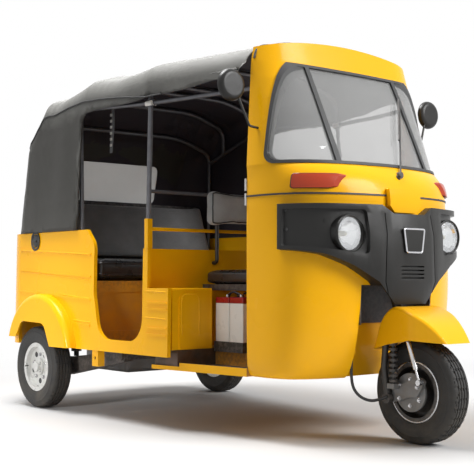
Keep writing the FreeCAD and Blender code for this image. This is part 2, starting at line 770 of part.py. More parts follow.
def mask_form(inset):
    """The mask's outer form, as a loft over its height."""
    levels = (
        (MASK_CHIN_Z - CUT, MASK_CHIN_REACH_SHARE), (MASK_LEG_Z, 1.0), (LAMP_Z, 1.0),
        (MASK_MIDDLE_TOP_Z, MASK_TOP_REACH_SHARE), (MASK_TOP_Z + CUT, MASK_TOP_REACH_SHARE),
    )
    wires = []
    for z, share in levels:
        reach = CAB_REAR_X + (MASK_FRONT_X - CAB_REAR_X) * share
        wires.append(plan_wire(MASK_PLAN_SHARES, reach, CAB_HALF_WIDTH + MASK_WIDTH_GAIN, z, inset, CAB_REAR_X))
    return Part.makeLoft(wires, True, True)


def mask_outline():
    """The mask's outline from the front."""
    left = [
        (MASK_OUTER_HALF, MASK_SIDE_BASE_Z), (MASK_OUTER_HALF, MASK_TOP_Z),
        (MASK_NOTCH_HALF + MASK_NOTCH_SLOPE, MASK_TOP_Z), (MASK_NOTCH_HALF, MASK_MIDDLE_TOP_Z),
    ]
    low = [
        (MASK_CHIN_Y, MASK_CHIN_Z), (MASK_LEG_Y, MASK_LEG_Z), (MASK_JOWL_Y, MASK_JOWL_Z),
        (MASK_CHEEK_Y, MASK_CHEEK_Z),
    ]
    points = low + left
    return points + [(-y, z) for y, z in reversed(points)]


def mask_piece():
    """The black mask: a shell that stands off the cab, with a pocket round each lamp."""
    points = mask_outline()
    slab = front_prism(points, [0] * len(points), MASK_SIDE_X - CUT, MASK_FRONT_X + CUT)
    wide = MASK_OUTER_HALF + CUT
    ends = side_prism(
        [(MASK_SIDE_X, MASK_SIDE_BASE_Z), (MASK_FRONT_X + CUT, 0), (MASK_FRONT_X + CUT, MASK_TOP_Z + CUT),
         (MASK_SIDE_X, MASK_TOP_Z + CUT)],
        [0, 0, 0, 0], -wide, wide,
    )
    cab = cab_lower(-SEAT_GAP, CAB_BASE_Z, CAB_REAR_X)
    form = mask_form(0)
    solid = form.common(slab).common(ends).cut(cab)
    pocket = front_prism(
        [(-POCKET_INNER_Y, MASK_JOWL_Z + POCKET_RIM * 2), (-POCKET_INNER_Y, MASK_TOP_Z - POCKET_RIM),
         (-MASK_OUTER_HALF - CUT, MASK_TOP_Z - POCKET_RIM), (-MASK_OUTER_HALF - CUT, MASK_SIDE_BASE_Z + POCKET_RIM),
         (-MASK_CHEEK_Y, MASK_CHEEK_Z + POCKET_RIM)],
        [WALL, WALL, 0, 0, WALL], MASK_SIDE_X + POCKET_RIM, MASK_FRONT_X + CUT,
    )
    hollow = pocket.cut(mask_form(POCKET_DEPTH)).cut(cab_lower(-POCKET_FLOOR, CAB_BASE_Z, CAB_REAR_X))
    solid = solid.cut(hollow).cut(mirrored(hollow))
    for hole in (lamp_hole(SEAT_GAP), mirrored(lamp_hole(SEAT_GAP))):
        solid = solid.cut(hole)
    core = mask_form(MASK_SKIN)
    back = box(WELL_BACK_X, MASK_FRONT_X, -MASK_LEG_Y, MASK_LEG_Y, MASK_CHIN_Z - CUT, WELL_TOP_Z)
    solid = solid.cut(core.common(back))
    return solid


def main_solid(shape):
    """The largest solid of a shape, for a cut that leaves crumbs."""
    return max(shape.Solids, key=lambda s: s.Volume)


def shield_details(solid):
    """Cuts the shield's side grooves and its row of slots into the mask."""
    core = mask_form(SHIELD_GROOVE)
    tools = []
    for side in (-1, 1):
        run = [
            V(CAB_FRONT_X, side * SHIELD_TOP_Y, MASK_MIDDLE_TOP_Z), V(CAB_FRONT_X, side * SHIELD_SIDE_Y, MASK_LEG_Z),
            V(CAB_FRONT_X, side * MASK_CHIN_Y, MASK_CHIN_Z - CUT),
        ]
        for start, end in zip(run, run[1:]):
            across = V(0, SHIELD_GROOVE / 2, 0)
            face = Part.Face(Part.makePolygon([start - across, end - across, end + across, start + across, start - across]))
            tools.append(face.extrude(V(MASK_FRONT_X, 0, 0)))
    groove = tools[0].fuse(tools[1:]).cut(core)
    slots = []
    for i in range(SLOT_COUNT):
        top = SLOT_TOP_Z - SLOT_PITCH * i
        slots.append(box(MASK_FRONT_X - SLOT_DEPTH, MASK_FRONT_X + CUT, -SLOT_HALF, SLOT_HALF, top - SLOT_HEIGHT, top))
    return solid.cut(groove).cut(slots[0].fuse(slots[1:]))


def badge_piece():
    """A blank badge on the shield: a frame round a plain plate."""
    front = MASK_FRONT_X + BADGE_THICK
    outline = [
        (-BADGE_BASE_HALF, BADGE_BASE_Z), (BADGE_BASE_HALF, BADGE_BASE_Z), (BADGE_TOP_HALF, BADGE_TOP_Z),
        (-BADGE_TOP_HALF, BADGE_TOP_Z),
    ]
    outer = front_prism(outline, [WALL, WALL, WALL / 2, WALL / 2], CAB_FRONT_X, front)
    return outer.cut(mask_form(-SEAT_GAP))


def flap_piece():
    """The raised flap of the upper panel that laps over the mask."""
    points = [
        (-FLAP_HALF + FLAP_CHAMFER, FLAP_BASE_Z), (FLAP_HALF - FLAP_CHAMFER, FLAP_BASE_Z),
        (FLAP_HALF, FLAP_BASE_Z + FLAP_CHAMFER), (FLAP_HALF, FLAP_TOP_Z), (-FLAP_HALF, FLAP_TOP_Z),
        (-FLAP_HALF, FLAP_BASE_Z + FLAP_CHAMFER),
    ]
    slab = front_prism(points, [FLAP_ROUND] * len(points), CAB_REAR_X, MASK_FRONT_X)
    outer = cab_lower(-FLAP_PROUD, CAB_BASE_Z, CAB_REAR_X)
    inner = cab_lower(-SEAM_BEAD_PROUD - SEAT_GAP, CAB_BASE_Z, CAB_REAR_X)
    return outer.cut(inner).common(slab)


def liner_piece():
    """The black liner on the recess's back and roof."""
    outer = well_solid(-SEAT_GAP)
    inner = well_solid(-SEAT_GAP - LINER_THICK)
    front_x = CAB_FRONT_X - CUT / 2
    zone = box(WELL_BACK_X - CUT, front_x, -WELL_HALF - CUT, WELL_HALF + CUT, LINER_BOTTOM_Z, WELL_TOP_Z)
    return outer.cut(inner).common(zone).cut(steering_hole(STEM_HOLE))


def lamp_pieces():
    """The bowl of each lamp with its ring, and its domed lens."""
    start = V(LAMP_FACE_X, -LAMP_Y, LAMP_Z)
    back = V(LAMP_FACE_X - LAMP_DEPTH, -LAMP_Y, LAMP_Z)
    bowl = rod(LAMP_RADIUS, back, start).cut(rod(LAMP_RADIUS - LAMP_SHELL, back + X_AXIS * LAMP_SHELL, start))
    ring = rod(LAMP_RADIUS, start, start + X_AXIS * LAMP_RING)
    bowl = bowl.fuse(ring.cut(rod(LAMP_RADIUS - LAMP_RING, start, start + X_AXIS * LAMP_RING)))
    flat = LAMP_RADIUS - LAMP_RING - SEAT_GAP
    ball = (flat ** 2 + LENS_BULGE ** 2) / (2 * LENS_BULGE)
    edge = start + X_AXIS * LENS_THICK
    centre = edge + X_AXIS * (LENS_BULGE - ball)
    dome = Part.makeSphere(ball, centre).common(rod(flat, edge, edge + X_AXIS * LENS_BULGE))
    lens = dome.fuse(rod(flat, start, edge)).removeSplitter()
    return bowl, lens


def signal_piece():
    """The amber turn signal that wraps round the cab's right corner."""
    outer = cab_lower(-SIGNAL_PROUD, CAB_BASE_Z, CAB_REAR_X)
    inner = cab_lower(-SEAT_GAP, CAB_BASE_Z, CAB_REAR_X)
    wide = CAB_HALF_WIDTH + CUT
    slab = side_prism(
        [(SIGNAL_REAR_X, SIGNAL_BASE_Z), (SIGNAL_FRONT_X, SIGNAL_BASE_Z), (SIGNAL_FRONT_X, SIGNAL_TOP_Z),
         (SIGNAL_REAR_X, SIGNAL_TOP_Z)],
        [WALL / 2] * 4, -wide, -WELL_HALF,
    )
    return outer.cut(inner).common(slab)


# Rear body


def side_plan(half, inset):
    """The rear body's plan: straight sides and rounded rear corners."""
    rear = BODY_REAR_X + inset
    reach = half - inset
    corner = BODY_CORNER - inset
    return [(BODY_FRONT_X + CUT, -reach), (rear, -reach), (rear, reach), (BODY_FRONT_X + CUT, reach)], [0, corner, corner, 0]


def tub_form(inset):
    """The rear body's form, tapering a little to its waist."""
    wires = []
    for half, z in ((BODY_HALF_WIDTH, 0), (BODY_TOP_HALF_WIDTH, BODY_WAIST_Z)):
        points, radii = side_plan(half, inset)
        wires.append(rounded_outline([V(x, y, z) for x, y in points], radii))
    return Part.makeLoft(wires, True, True)


def door_cut():
    """The passengers' doorway, cut down from above the waist."""
    top = BODY_WAIST_Z + CUT
    flare = DOOR_TOP_CORNER
    points = [
        (DOOR_REAR_X + DOOR_CORNER / 2, DOOR_SILL_Z), (DOOR_FRONT_X, DOOR_SILL_Z), (DOOR_FRONT_X, top),
        (DOOR_REAR_X - flare, top), (DOOR_REAR_X - flare, BODY_WAIST_Z), (DOOR_REAR_X, BODY_WAIST_Z - flare),
        (DOOR_REAR_X, DOOR_SILL_Z + DOOR_CORNER * 2),
    ]
    return points, [DOOR_CORNER, DOOR_CORNER, 0, 0, 0, flare, DOOR_CORNER * 2]


def side_outline():
    """The rear side panel's outline from the side, without the doorway."""
    points = [
        (REAR_AXLE_X, BODY_SILL_Z), (BODY_FRONT_X, BODY_SILL_Z), (BODY_FRONT_X, BOX_TOP_Z), (DOOR_FRONT_X + WALL * 2, BOX_TOP_Z),
        (DOOR_FRONT_X + WALL * 2, POST_TOP_Z), (DOOR_FRONT_X - WALL, POST_TOP_Z), (DOOR_FRONT_X - WALL, BODY_WAIST_Z),
        (BODY_REAR_X - CUT, BODY_WAIST_Z), (BODY_REAR_X - CUT, BODY_SILL_Z),
    ]
    return points, [0] * len(points)


def rib(level, x0, x1, slope):
    """One pressed rib along the side panel, as a slab before it is trimmed to the panel."""
    drop = (x1 - x0) * slope
    points = [(x0, level - RIB_HEIGHT / 2), (x1, level - drop - RIB_HEIGHT / 2), (x1, level - drop + RIB_HEIGHT / 2),
              (x0, level + RIB_HEIGHT / 2)]
    return side_prism(points, [0] * 4, -BODY_HALF_WIDTH - CUT, -BODY_TOP_HALF_WIDTH + WALL)


def side_panel():
    """The right side panel, with its wheel arch, doorway and ribs."""
    points, radii = side_outline()
    wide = BODY_HALF_WIDTH + CUT
    rear_cut = BODY_REAR_X + BODY_CORNER
    zone = side_prism(points, radii, -wide, -BODY_TOP_HALF_WIDTH + BODY_CORNER)
    skin = tub_form(0).cut(tub_form(WALL)).common(zone)
    proud = tub_form(-RIB_PROUD).cut(tub_form(WALL / 2)).common(zone)
    ribs = []
    for level in RIB_LEVELS_Z:
        ribs.append(rib(level, rear_cut, DOOR_REAR_X - RIB_HEIGHT * 3, RIB_DROP_SHARE).common(proud))
    for level in FRONT_RIB_LEVELS_Z:
        ribs.append(rib(level, DOOR_FRONT_X + WALL * 2, BODY_FRONT_X - RIB_HEIGHT, 0).common(proud))
    guard = rod(FLARE_RADIUS + RIB_HEIGHT, V(FLARE_CENTRE_X, -wide, FLARE_CENTRE_Z), V(FLARE_CENTRE_X, 0, FLARE_CENTRE_Z))
    skin = skin.fuse([r.cut(guard.cut(tub_form(0))) for r in ribs])
    cut_points, cut_radii = door_cut()
    skin = skin.cut(side_prism(cut_points, cut_radii, -wide, 0))
    arch = rod(BODY_ARCH_RADIUS, V(REAR_AXLE_X, -wide, ARCH_CENTRE_Z), V(REAR_AXLE_X, 0, ARCH_CENTRE_Z))
    below = box(REAR_AXLE_X - BODY_ARCH_RADIUS, REAR_AXLE_X + BODY_ARCH_RADIUS, -wide, 0, 0, ARCH_CENTRE_Z)
    return main_solid(skin.cut(arch).cut(below).cut(rear_zone()))


def rear_zone():
    """The slice of the rear body that the rear panel takes."""
    wide = BODY_HALF_WIDTH + CUT
    return box(BODY_REAR_X - CUT, BODY_REAR_X + BODY_CORNER, -wide, wide, 0, BODY_WAIST_Z + CUT)


def lid_outline(margin):
    """The rear lid's outline from behind."""
    half, low, high = LID_HALF + margin, LID_BASE_Z - margin, LID_TOP_Z + margin
    return [(-half, low), (half, low), (half, high), (-half, high)], [LID_ROUND + margin] * 4


def rear_panel():
    """The rear panel with its rounded corners and the opening of the lid."""
    skin = tub_form(0).cut(tub_form(WALL))
    zone = rear_zone().common(box(BODY_REAR_X - CUT, BODY_REAR_X + BODY_CORNER - SEAT_GAP, -BODY_HALF_WIDTH - CUT,
                                  BODY_HALF_WIDTH + CUT, BODY_SILL_Z, BODY_WAIST_Z))
    points, radii = lid_outline(LID_GAP)
    opening = front_prism(points, radii, BODY_REAR_X - CUT, BODY_REAR_X + CUT)
    panel = skin.common(zone).cut(opening)
    for side in (-1, 1):
        spot = V(BODY_REAR_X - CUT, side * PLATE_HOLE_PITCH / 2, PLATE_Z)
        panel = panel.cut(rod(PLATE_HOLE_RADIUS, spot, spot + X_AXIS * CUT * 2))
    return panel


def lid_piece():
    """The rear lid with louvres, hung from knuckles at its top edge."""
    points, radii = lid_outline(0)
    slab = front_prism(points, radii, BODY_REAR_X - CUT, BODY_REAR_X + WALL - SEAT_GAP)
    lid = tub_form(0).common(slab)
    for i in range(LOUVRE_COUNT):
        top = LOUVRE_TOP_Z - LOUVRE_PITCH * i
        lid = lid.cut(box(BODY_REAR_X - CUT, BODY_REAR_X + CUT, -LOUVRE_HALF, LOUVRE_HALF, top - LOUVRE_HEIGHT, top))
    return lid


def lid_hinge_line():
    """The line that the lid turns on, just outside its top edge."""
    return V(BODY_REAR_X - LID_HINGE_RADIUS - SEAT_GAP, 0, LID_TOP_Z + LID_GAP / 2)


def lid_knuckles():
    """The lid's half of the hinge and the body's half, on one pin line."""
    line = lid_hinge_line()
    moving, fixed = [], []
    for side in (-1, 1):
        for outer, found in ((0, moving), (1, fixed)):
            start = side * (LID_HINGE_Y + LID_HINGE_LENGTH * outer + SEAT_GAP * outer)
            end = start + side * LID_HINGE_LENGTH
            barrel = rod(LID_HINGE_RADIUS, V(line.x, start, line.z), V(line.x, end, line.z))
            low, high = (-LID_HINGE_LENGTH / 2, 0) if outer == 0 else (0, LID_HINGE_LENGTH / 2)
            leaf = box(line.x, BODY_REAR_X, min(start, end), max(start, end), line.z + low, line.z + high)
            leaf = leaf.cut(box(line.x, BODY_REAR_X, -BODY_HALF_WIDTH, BODY_HALF_WIDTH, line.z - LID_GAP,
                                line.z + LID_GAP).cut(rod(LID_HINGE_RADIUS, V(line.x, -BODY_HALF_WIDTH, line.z),
                                                          V(line.x, BODY_HALF_WIDTH, line.z))))
            found.append(barrel.fuse(leaf))
    return moving, fixed


def flare_piece():
    """The right rear mudguard: a swelling round the wheel, proud of the side panel, with a flat-topped mouth."""
    inner_y = -BODY_HALF_WIDTH + WALL
    start, end = V(FLARE_CENTRE_X, -FLARE_Y, FLARE_CENTRE_Z), V(FLARE_CENTRE_X, inner_y, FLARE_CENTRE_Z)
    outer = rod(FLARE_RADIUS, start, end)
    rim = [e for e in outer.Edges if e.Curve.TypeId == "Part::GeomCircle" and e.CenterOfMass.y < -BODY_HALF_WIDTH]
    outer = outer.makeFillet(FLARE_ROUND, rim)
    hollow = rod(FLARE_RADIUS - FLARE_WALL, start + Y_AXIS * FLARE_WALL, end + Y_AXIS * CUT)
    rim = [e for e in hollow.Edges if e.Curve.TypeId == "Part::GeomCircle" and e.CenterOfMass.y < inner_y - WALL]
    hollow = hollow.makeFillet(FLARE_ROUND - FLARE_WALL, rim)
    foot, tail = FLARE_MOUTH[-1], FLARE_MOUTH[0]
    outline = [(tail[0], 0)] + list(FLARE_MOUTH) + [(foot[0], 0)]
    mouth = side_prism(outline, [0, *FLARE_MOUTH_ROUNDS, 0], -FLARE_Y - CUT, 0)
    reach = FLARE_RADIUS + CUT
    front = box(FLARE_CENTRE_X, FLARE_CENTRE_X + reach, -FLARE_Y - CUT, 0, FLARE_FOOT_Z, FLARE_CENTRE_Z + reach)
    back = box(FLARE_CENTRE_X - reach, FLARE_CENTRE_X, -FLARE_Y - CUT, 0, FLARE_TAIL_Z, FLARE_CENTRE_Z + reach)
    shell = outer.cut(hollow).cut(mouth).common(front.fuse(back).removeSplitter())
    return shell.cut(tub_form(-SEAT_GAP))


def cabin_floor():
    """The passengers' floor and the stepped floor under the driver."""
    reach = BODY_TOP_HALF_WIDTH - WALL - SEAT_GAP
    rear = box(CABIN_FLOOR_REAR_X, RISER_FRONT_X, -reach, reach, CABIN_FLOOR_Z - SHEET, CABIN_FLOOR_Z)
    riser = box(DRIVER_FLOOR_REAR_X, RISER_FRONT_X, -RISER_HALF, RISER_HALF, DRIVER_FLOOR_Z, CABIN_FLOOR_Z - SHEET)
    hollow = box(DRIVER_FLOOR_REAR_X + SHEET, RISER_FRONT_X - SHEET, -RISER_HALF + SHEET, RISER_HALF - SHEET,
                 DRIVER_FLOOR_Z, CABIN_FLOOR_Z - SHEET)
    return rear.fuse(riser.cut(hollow)).removeSplitter()


def driver_floor():
    """The driver's floor pan with its side lips."""
    base = DRIVER_FLOOR_Z - WALL
    front = CAB_REAR_X - SEAT_GAP
    front_half = CAB_HALF_WIDTH
    pan = plan_prism(
        [(DRIVER_FLOOR_REAR_X, -DRIVER_FLOOR_HALF_REAR), (front, -front_half), (front, front_half),
         (DRIVER_FLOOR_REAR_X, DRIVER_FLOOR_HALF_REAR)], [0] * 4, base, DRIVER_FLOOR_Z - SEAT_GAP)
    taper = (DRIVER_FLOOR_HALF_REAR - front_half) / (front - DRIVER_FLOOR_REAR_X)
    rear_y = DRIVER_FLOOR_HALF_REAR - taper * (RISER_FRONT_X + SHEET - DRIVER_FLOOR_REAR_X)
    lip = plan_prism(
        [(RISER_FRONT_X + SHEET, -rear_y), (front, -front_half), (front, -front_half + SILL_LIP_THICK),
         (RISER_FRONT_X + SHEET, -rear_y + SILL_LIP_THICK)], [0] * 4, base, DRIVER_FLOOR_Z + SILL_LIP)
    return pan.fuse([lip, mirrored(lip)]).removeSplitter()


def plinth_piece():
    """The raised hollow step that carries the driver's seat and the battery tray."""
    block = box(RISER_FRONT_X + SEAT_GAP, PLINTH_FRONT_X, -PLINTH_HALF, PLINTH_HALF, DRIVER_FLOOR_Z, PLINTH_TOP_Z)
    block = block.makeFillet(SHEET / 2, edges_along(block, Z_AXIS, V(PLINTH_FRONT_X - 1, -PLINTH_HALF - 1, 0),
                                                    V(PLINTH_FRONT_X + 1, PLINTH_HALF + 1, CABIN_FLOOR_Z)))
    hollow = box(RISER_FRONT_X + SHEET, PLINTH_FRONT_X - SHEET, -PLINTH_HALF + SHEET, PLINTH_HALF - SHEET,
                 DRIVER_FLOOR_Z, PLINTH_TOP_Z - SHEET)
    return block.cut(hollow)


def partition_piece():
    """The wall behind the driver, with a hollow knee box at each side."""
    reach = BODY_TOP_HALF_WIDTH - WALL - SEAT_GAP
    rear_x = DOOR_FRONT_X + WALL * 2 + SEAT_GAP - WALL * 2
    front_x = rear_x + WALL
    base = CABIN_FLOOR_Z + SEAT_GAP
    wall = box(rear_x, front_x, -reach, reach, base, POST_TOP_Z)
    outer = box(front_x - 1, BODY_FRONT_X, -reach, -BOX_INNER_Y, base, BOX_TOP_Z)
    outer = outer.makeFillet(SHEET / 2, edges_along(outer, Y_AXIS, V(BODY_FRONT_X - 1, -reach, BOX_TOP_Z - 1),
                                                    V(BODY_FRONT_X + 1, 0, BOX_TOP_Z + 1)))
    inner = box(rear_x - 1, BODY_FRONT_X - SHEET, -reach + SHEET, -BOX_INNER_Y - SHEET, base + SHEET, BOX_TOP_Z - SHEET)
    middle = (reach + BOX_INNER_Y) / 2
    arch = front_prism(
        [(-middle - BOX_EMBOSS_HALF, BOX_EMBOSS_BASE_Z), (-middle + BOX_EMBOSS_HALF, BOX_EMBOSS_BASE_Z),
         (-middle + BOX_EMBOSS_HALF, BOX_EMBOSS_TOP_Z), (-middle - BOX_EMBOSS_HALF, BOX_EMBOSS_TOP_Z)],
        [0, 0, WALL * 2, WALL * 2], BODY_FRONT_X - 1, BODY_FRONT_X + BOX_EMBOSS)
    knee = outer.fuse(arch)
    wall = wall.fuse([knee, mirrored(knee)])
    return wall.cut(inner).cut(mirrored(inner)).removeSplitter()


def seat_box():
    """The hollow base under the passengers' bench, with a pressed front."""
    reach = BODY_TOP_HALF_WIDTH - WALL - SEAT_GAP
    top = BENCH_BASE_Z - SEAT_GAP
    wall = SEAT_BOX_WALL
    outer = box(SEAT_BOX_REAR_X, SEAT_BOX_FRONT_X, -reach, reach, CABIN_FLOOR_Z + SEAT_GAP, top)
    inner = box(SEAT_BOX_REAR_X - wall, SEAT_BOX_FRONT_X - wall, -reach - wall, reach + wall, 0, top - wall)
    margin = SEAT_EMBOSS_MARGIN
    press = front_prism(
        [(-reach + margin, CABIN_FLOOR_Z + margin), (reach - margin, CABIN_FLOOR_Z + margin), (reach - margin, top - margin),
         (-reach + margin, top - margin)], [WALL] * 4, SEAT_BOX_FRONT_X - SEAT_EMBOSS, SEAT_BOX_FRONT_X + SHEET)
    shelf = box(BODY_REAR_X + WALL + SEAT_GAP, SEAT_BOX_REAR_X, -BODY_TOP_HALF_WIDTH + BODY_CORNER,
                BODY_TOP_HALF_WIDTH - BODY_CORNER, top - wall, top)
    wing = box(BODY_REAR_X + BODY_CORNER, SEAT_BOX_REAR_X, -reach, reach, top - wall, top)
    return outer.cut(inner).cut(press).fuse([shelf, wing]).removeSplitter()


def bench_cushion():
    """The passengers' bench cushion."""
    reach = BENCH_HALF
    return soft_block(BENCH_REAR_X, BENCH_FRONT_X, -reach, reach, BENCH_BASE_Z, BENCH_TOP_Z, BENCH_ROUND)


def bench_back():
    """The passengers' leaning backrest."""
    points = [
        (BACK_FOOT_X, BACK_FOOT_Z), (BACK_HEAD_X, BACK_HEAD_Z), (BACK_HEAD_X - BACK_THICK, BACK_HEAD_Z),
        (BACK_FOOT_X - BACK_THICK, BACK_FOOT_Z),
    ]
    block = side_prism(points, [0] * 4, -BACK_HALF, BACK_HALF)
    return block.makeFillet(BACK_ROUND, block.Edges)


def back_stand():
    """The plywood stand that carries the backrest from the luggage shelf."""
    rear = BACK_FOOT_X - BACK_THICK - SEAT_GAP
    base = BENCH_BASE_Z
    points = [(BACK_FOOT_X - WALL, base), (BACK_FOOT_X - WALL, BACK_FOOT_Z - SEAT_GAP), (rear, BACK_FOOT_Z - SEAT_GAP),
              (BACK_HEAD_X - BACK_THICK - SEAT_GAP, BACK_HEAD_Z), (BACK_HEAD_X - BACK_THICK - SHEET, BACK_HEAD_Z),
              (rear - SHEET, BACK_FOOT_Z - SHEET), (rear - SHEET, base)]
    return side_prism(points, [0] * len(points), -BACK_HALF, BACK_HALF)


# Canopy


def canopy_section(x, crown_z, half, base_z, inset):
    """An arched section across the canopy: upright sides, rounded eaves and a rounded ridge."""
    base_half = half + CANOPY_SIDE_SPREAD - inset
    half = half - inset
    crown_z = crown_z - inset
    ridge = half * CANOPY_RIDGE_HALF_SHARE
    eave_z = crown_z - CANOPY_EAVE_DROP
    points = [
        V(x, -base_half, base_z), V(x, -half, eave_z), V(x, -ridge, crown_z), V(x, ridge, crown_z),
        V(x, half, eave_z), V(x, base_half, base_z),
    ]
    eave, ridge_round = CANOPY_EAVE_ROUND - inset, CANOPY_RIDGE_ROUND - inset
    return rounded_outline(points, [0, eave, ridge_round, ridge_round, eave, 0])


def rear_face_at(z):
    """How far back the canopy's leaning rear face is at a height, and its corner radius."""
    share = (z - BODY_WAIST_Z) / (CANOPY_REAR_HEAD_Z - BODY_WAIST_Z)
    x = CANOPY_REAR_FOOT[0] + (CANOPY_REAR_HEAD[0] - CANOPY_REAR_FOOT[0]) * share
    return x, CANOPY_REAR_FOOT[1] + (CANOPY_REAR_HEAD[1] - CANOPY_REAR_FOOT[1]) * share


def canopy_form(inset):
    """The whole canopy as a solid: an arch trimmed by its leaning rear face and rounded rear corners."""
    low_z = BODY_WAIST_Z + SEAT_GAP - inset
    wires = []
    for x, crown_z, half in CANOPY_STATIONS:
        if inset and x == CANOPY_FRONT_X:
            x = CANOPY_FRONT_X + CUT
        wires.append(canopy_section(x, crown_z, half, low_z, inset))
    arch = Part.makeLoft(wires, True, True)
    front_x = CANOPY_FRONT_X + CUT * 2
    reach = CANOPY_HALF + CANOPY_SIDE_SPREAD - inset
    plans = []
    for z in (low_z, CANOPY_TOP_Z):
        rear_x, corner = rear_face_at(z)
        rear_x, corner = rear_x + inset, corner - inset
        points = [V(front_x, -reach, z), V(rear_x, -reach, z), V(rear_x, reach, z), V(front_x, reach, z)]
        plans.append(rounded_outline(points, [0, corner, corner, 0]))
    return arch.common(Part.makeLoft(plans, True, True))


def window_prism(margin):
    """The rear window's outline from behind."""
    half, low, high = WINDOW_HALF + margin, WINDOW_BASE_Z - margin, WINDOW_TOP_Z + margin
    return front_prism([(-half, low), (half, low), (half, high), (-half, high)], [WINDOW_ROUND + margin] * 4,
                       BODY_REAR_X - CUT, BODY_REAR_X + BODY_CORNER)


def canopy_opening():
    """What is cut from both canopy sides for the doorways."""
    wide = CANOPY_HALF + CUT * 2
    return side_prism(CANOPY_EDGE, CANOPY_EDGE_ROUNDS, -wide, wide)


def canopy_pieces():
    """The fabric canopy and its clear rear window."""
    outer = canopy_form(0)
    shell = outer.cut(canopy_form(CANOPY_SKIN)).cut(canopy_opening())
    canopy = shell.cut(window_prism(0))
    depth = (CANOPY_SKIN - WINDOW_THICK) / 2
    pane = canopy_form(depth).cut(canopy_form(depth + WINDOW_THICK)).common(window_prism(-SEAT_GAP))
    return canopy, pane


def canopy_at(x):
    """The canopy's crown height and half width at one place along it."""
    for before, after in zip(CANOPY_STATIONS, CANOPY_STATIONS[1:]):
        if after[0] <= x <= before[0]:
            part = (x - before[0]) / (after[0] - before[0])
            return before[1] + (after[1] - before[1]) * part, before[2] + (after[2] - before[2]) * part
    return CANOPY_STATIONS[0][1], CANOPY_STATIONS[0][2]


def rail_point(x, side):
    """The middle of the side rail at one place between the pole and the rear hoop."""
    if x >= HOOP_X[0]:
        share = (x - POLE_X) / (HOOP_X[0] - POLE_X)
        z = RAIL_Z + (RAIL_QUARTER_Z - RAIL_Z) * share
    else:
        share = (x - HOOP_X[0]) / (HOOP_X[1] - HOOP_X[0])
        z = RAIL_QUARTER_Z + (RAIL_REAR_Z - RAIL_QUARTER_Z) * share
    return V(x, side * (canopy_at(x)[1] - BOW_INSET), z)


def bow_path(x, foot_y, foot_z):
    """The middle line of one arched bow under the canopy, from foot to foot."""
    crown_z, half = canopy_at(x)
    crown_z, half = crown_z - BOW_INSET, half - BOW_INSET
    ridge, eave_z = half * CANOPY_RIDGE_HALF_SHARE, crown_z - CANOPY_EAVE_DROP
    points = [V(x, -foot_y, foot_z), V(x, -half, eave_z), V(x, -ridge, crown_z), V(x, ridge, crown_z),
              V(x, half, eave_z), V(x, foot_y, foot_z)]
    eave, top = CANOPY_EAVE_ROUND - BOW_INSET, CANOPY_RIDGE_ROUND - BOW_INSET
    return rounded_outline(points, [0, eave, top, top, eave, 0], closed=False)


def bow_tube(path):
    """A round tube along one bow's middle line."""
    start, beyond = path.discretize(BOW_SAMPLES)[:2]
    ring = Part.Wire(Part.makeCircle(BOW_RADIUS, start, beyond - start))
    return path.makePipeShell([ring], True, False)


def canopy_frame():
    """The bows, the side rails and the poles that stand on the partition's posts."""
    parts = []
    for x in HOOP_X:
        parts.append(bow_tube(bow_path(x, HOOP_FOOT_Y, BODY_WAIST_Z - HOOP_DEPTH)))
    for x in (POLE_X,) + BOW_X:
        foot = rail_point(x, 1)
        parts.append(bow_tube(bow_path(x, foot.y, foot.z)))
    front_x = CAB_REAR_X - SEAT_GAP
    front_half = CAB_HEADER_HALF_WIDTH - CAB_WALL / 2
    for side in (-1, 1):
        front = V(front_x, side * front_half, RAIL_Z)
        end = front - X_AXIS * BOW_RADIUS
        head = rail_point(POLE_X, side)
        quarter = rail_point(HOOP_X[0], side)
        parts.append(rod(RAIL_RADIUS, end, head))
        parts.append(rod(RAIL_RADIUS, end, front))
        parts.append(rod(RAIL_RADIUS, head, quarter))
        parts.append(rod(RAIL_RADIUS, quarter, rail_point(HOOP_X[1], side)))
        parts.append(Part.makeSphere(RAIL_RADIUS, quarter))
        parts.append(rod(POLE_RADIUS, V(POLE_X, side * POLE_Y, SOCKET_TOP_Z), head))
        parts.append(rod(CLAMP_RADIUS, head - X_AXIS * (CLAMP_LENGTH / 2), head + X_AXIS * (CLAMP_LENGTH / 2)))
        parts.append(box(POLE_X - SOCKET_HALF, POLE_X + SOCKET_HALF, side * POLE_Y - SOCKET_HALF,
                         side * POLE_Y + SOCKET_HALF, POST_TOP_Z + SEAT_GAP, SOCKET_TOP_Z))
    head_y = rail_point(POLE_X, 1).y
    for z in (BAR_HIGH_Z, BAR_LOW_Z):
        share = max(0, (z - SOCKET_TOP_Z) / (RAIL_Z - SOCKET_TOP_Z))
        reach = POLE_Y + (head_y - POLE_Y) * share
        parts.append(rod(CROSS_BAR_RADIUS, V(POLE_X, -reach, z), V(POLE_X, reach, z)))
    return parts[0].fuse(parts[1:])


# Seats and what stands under the driver


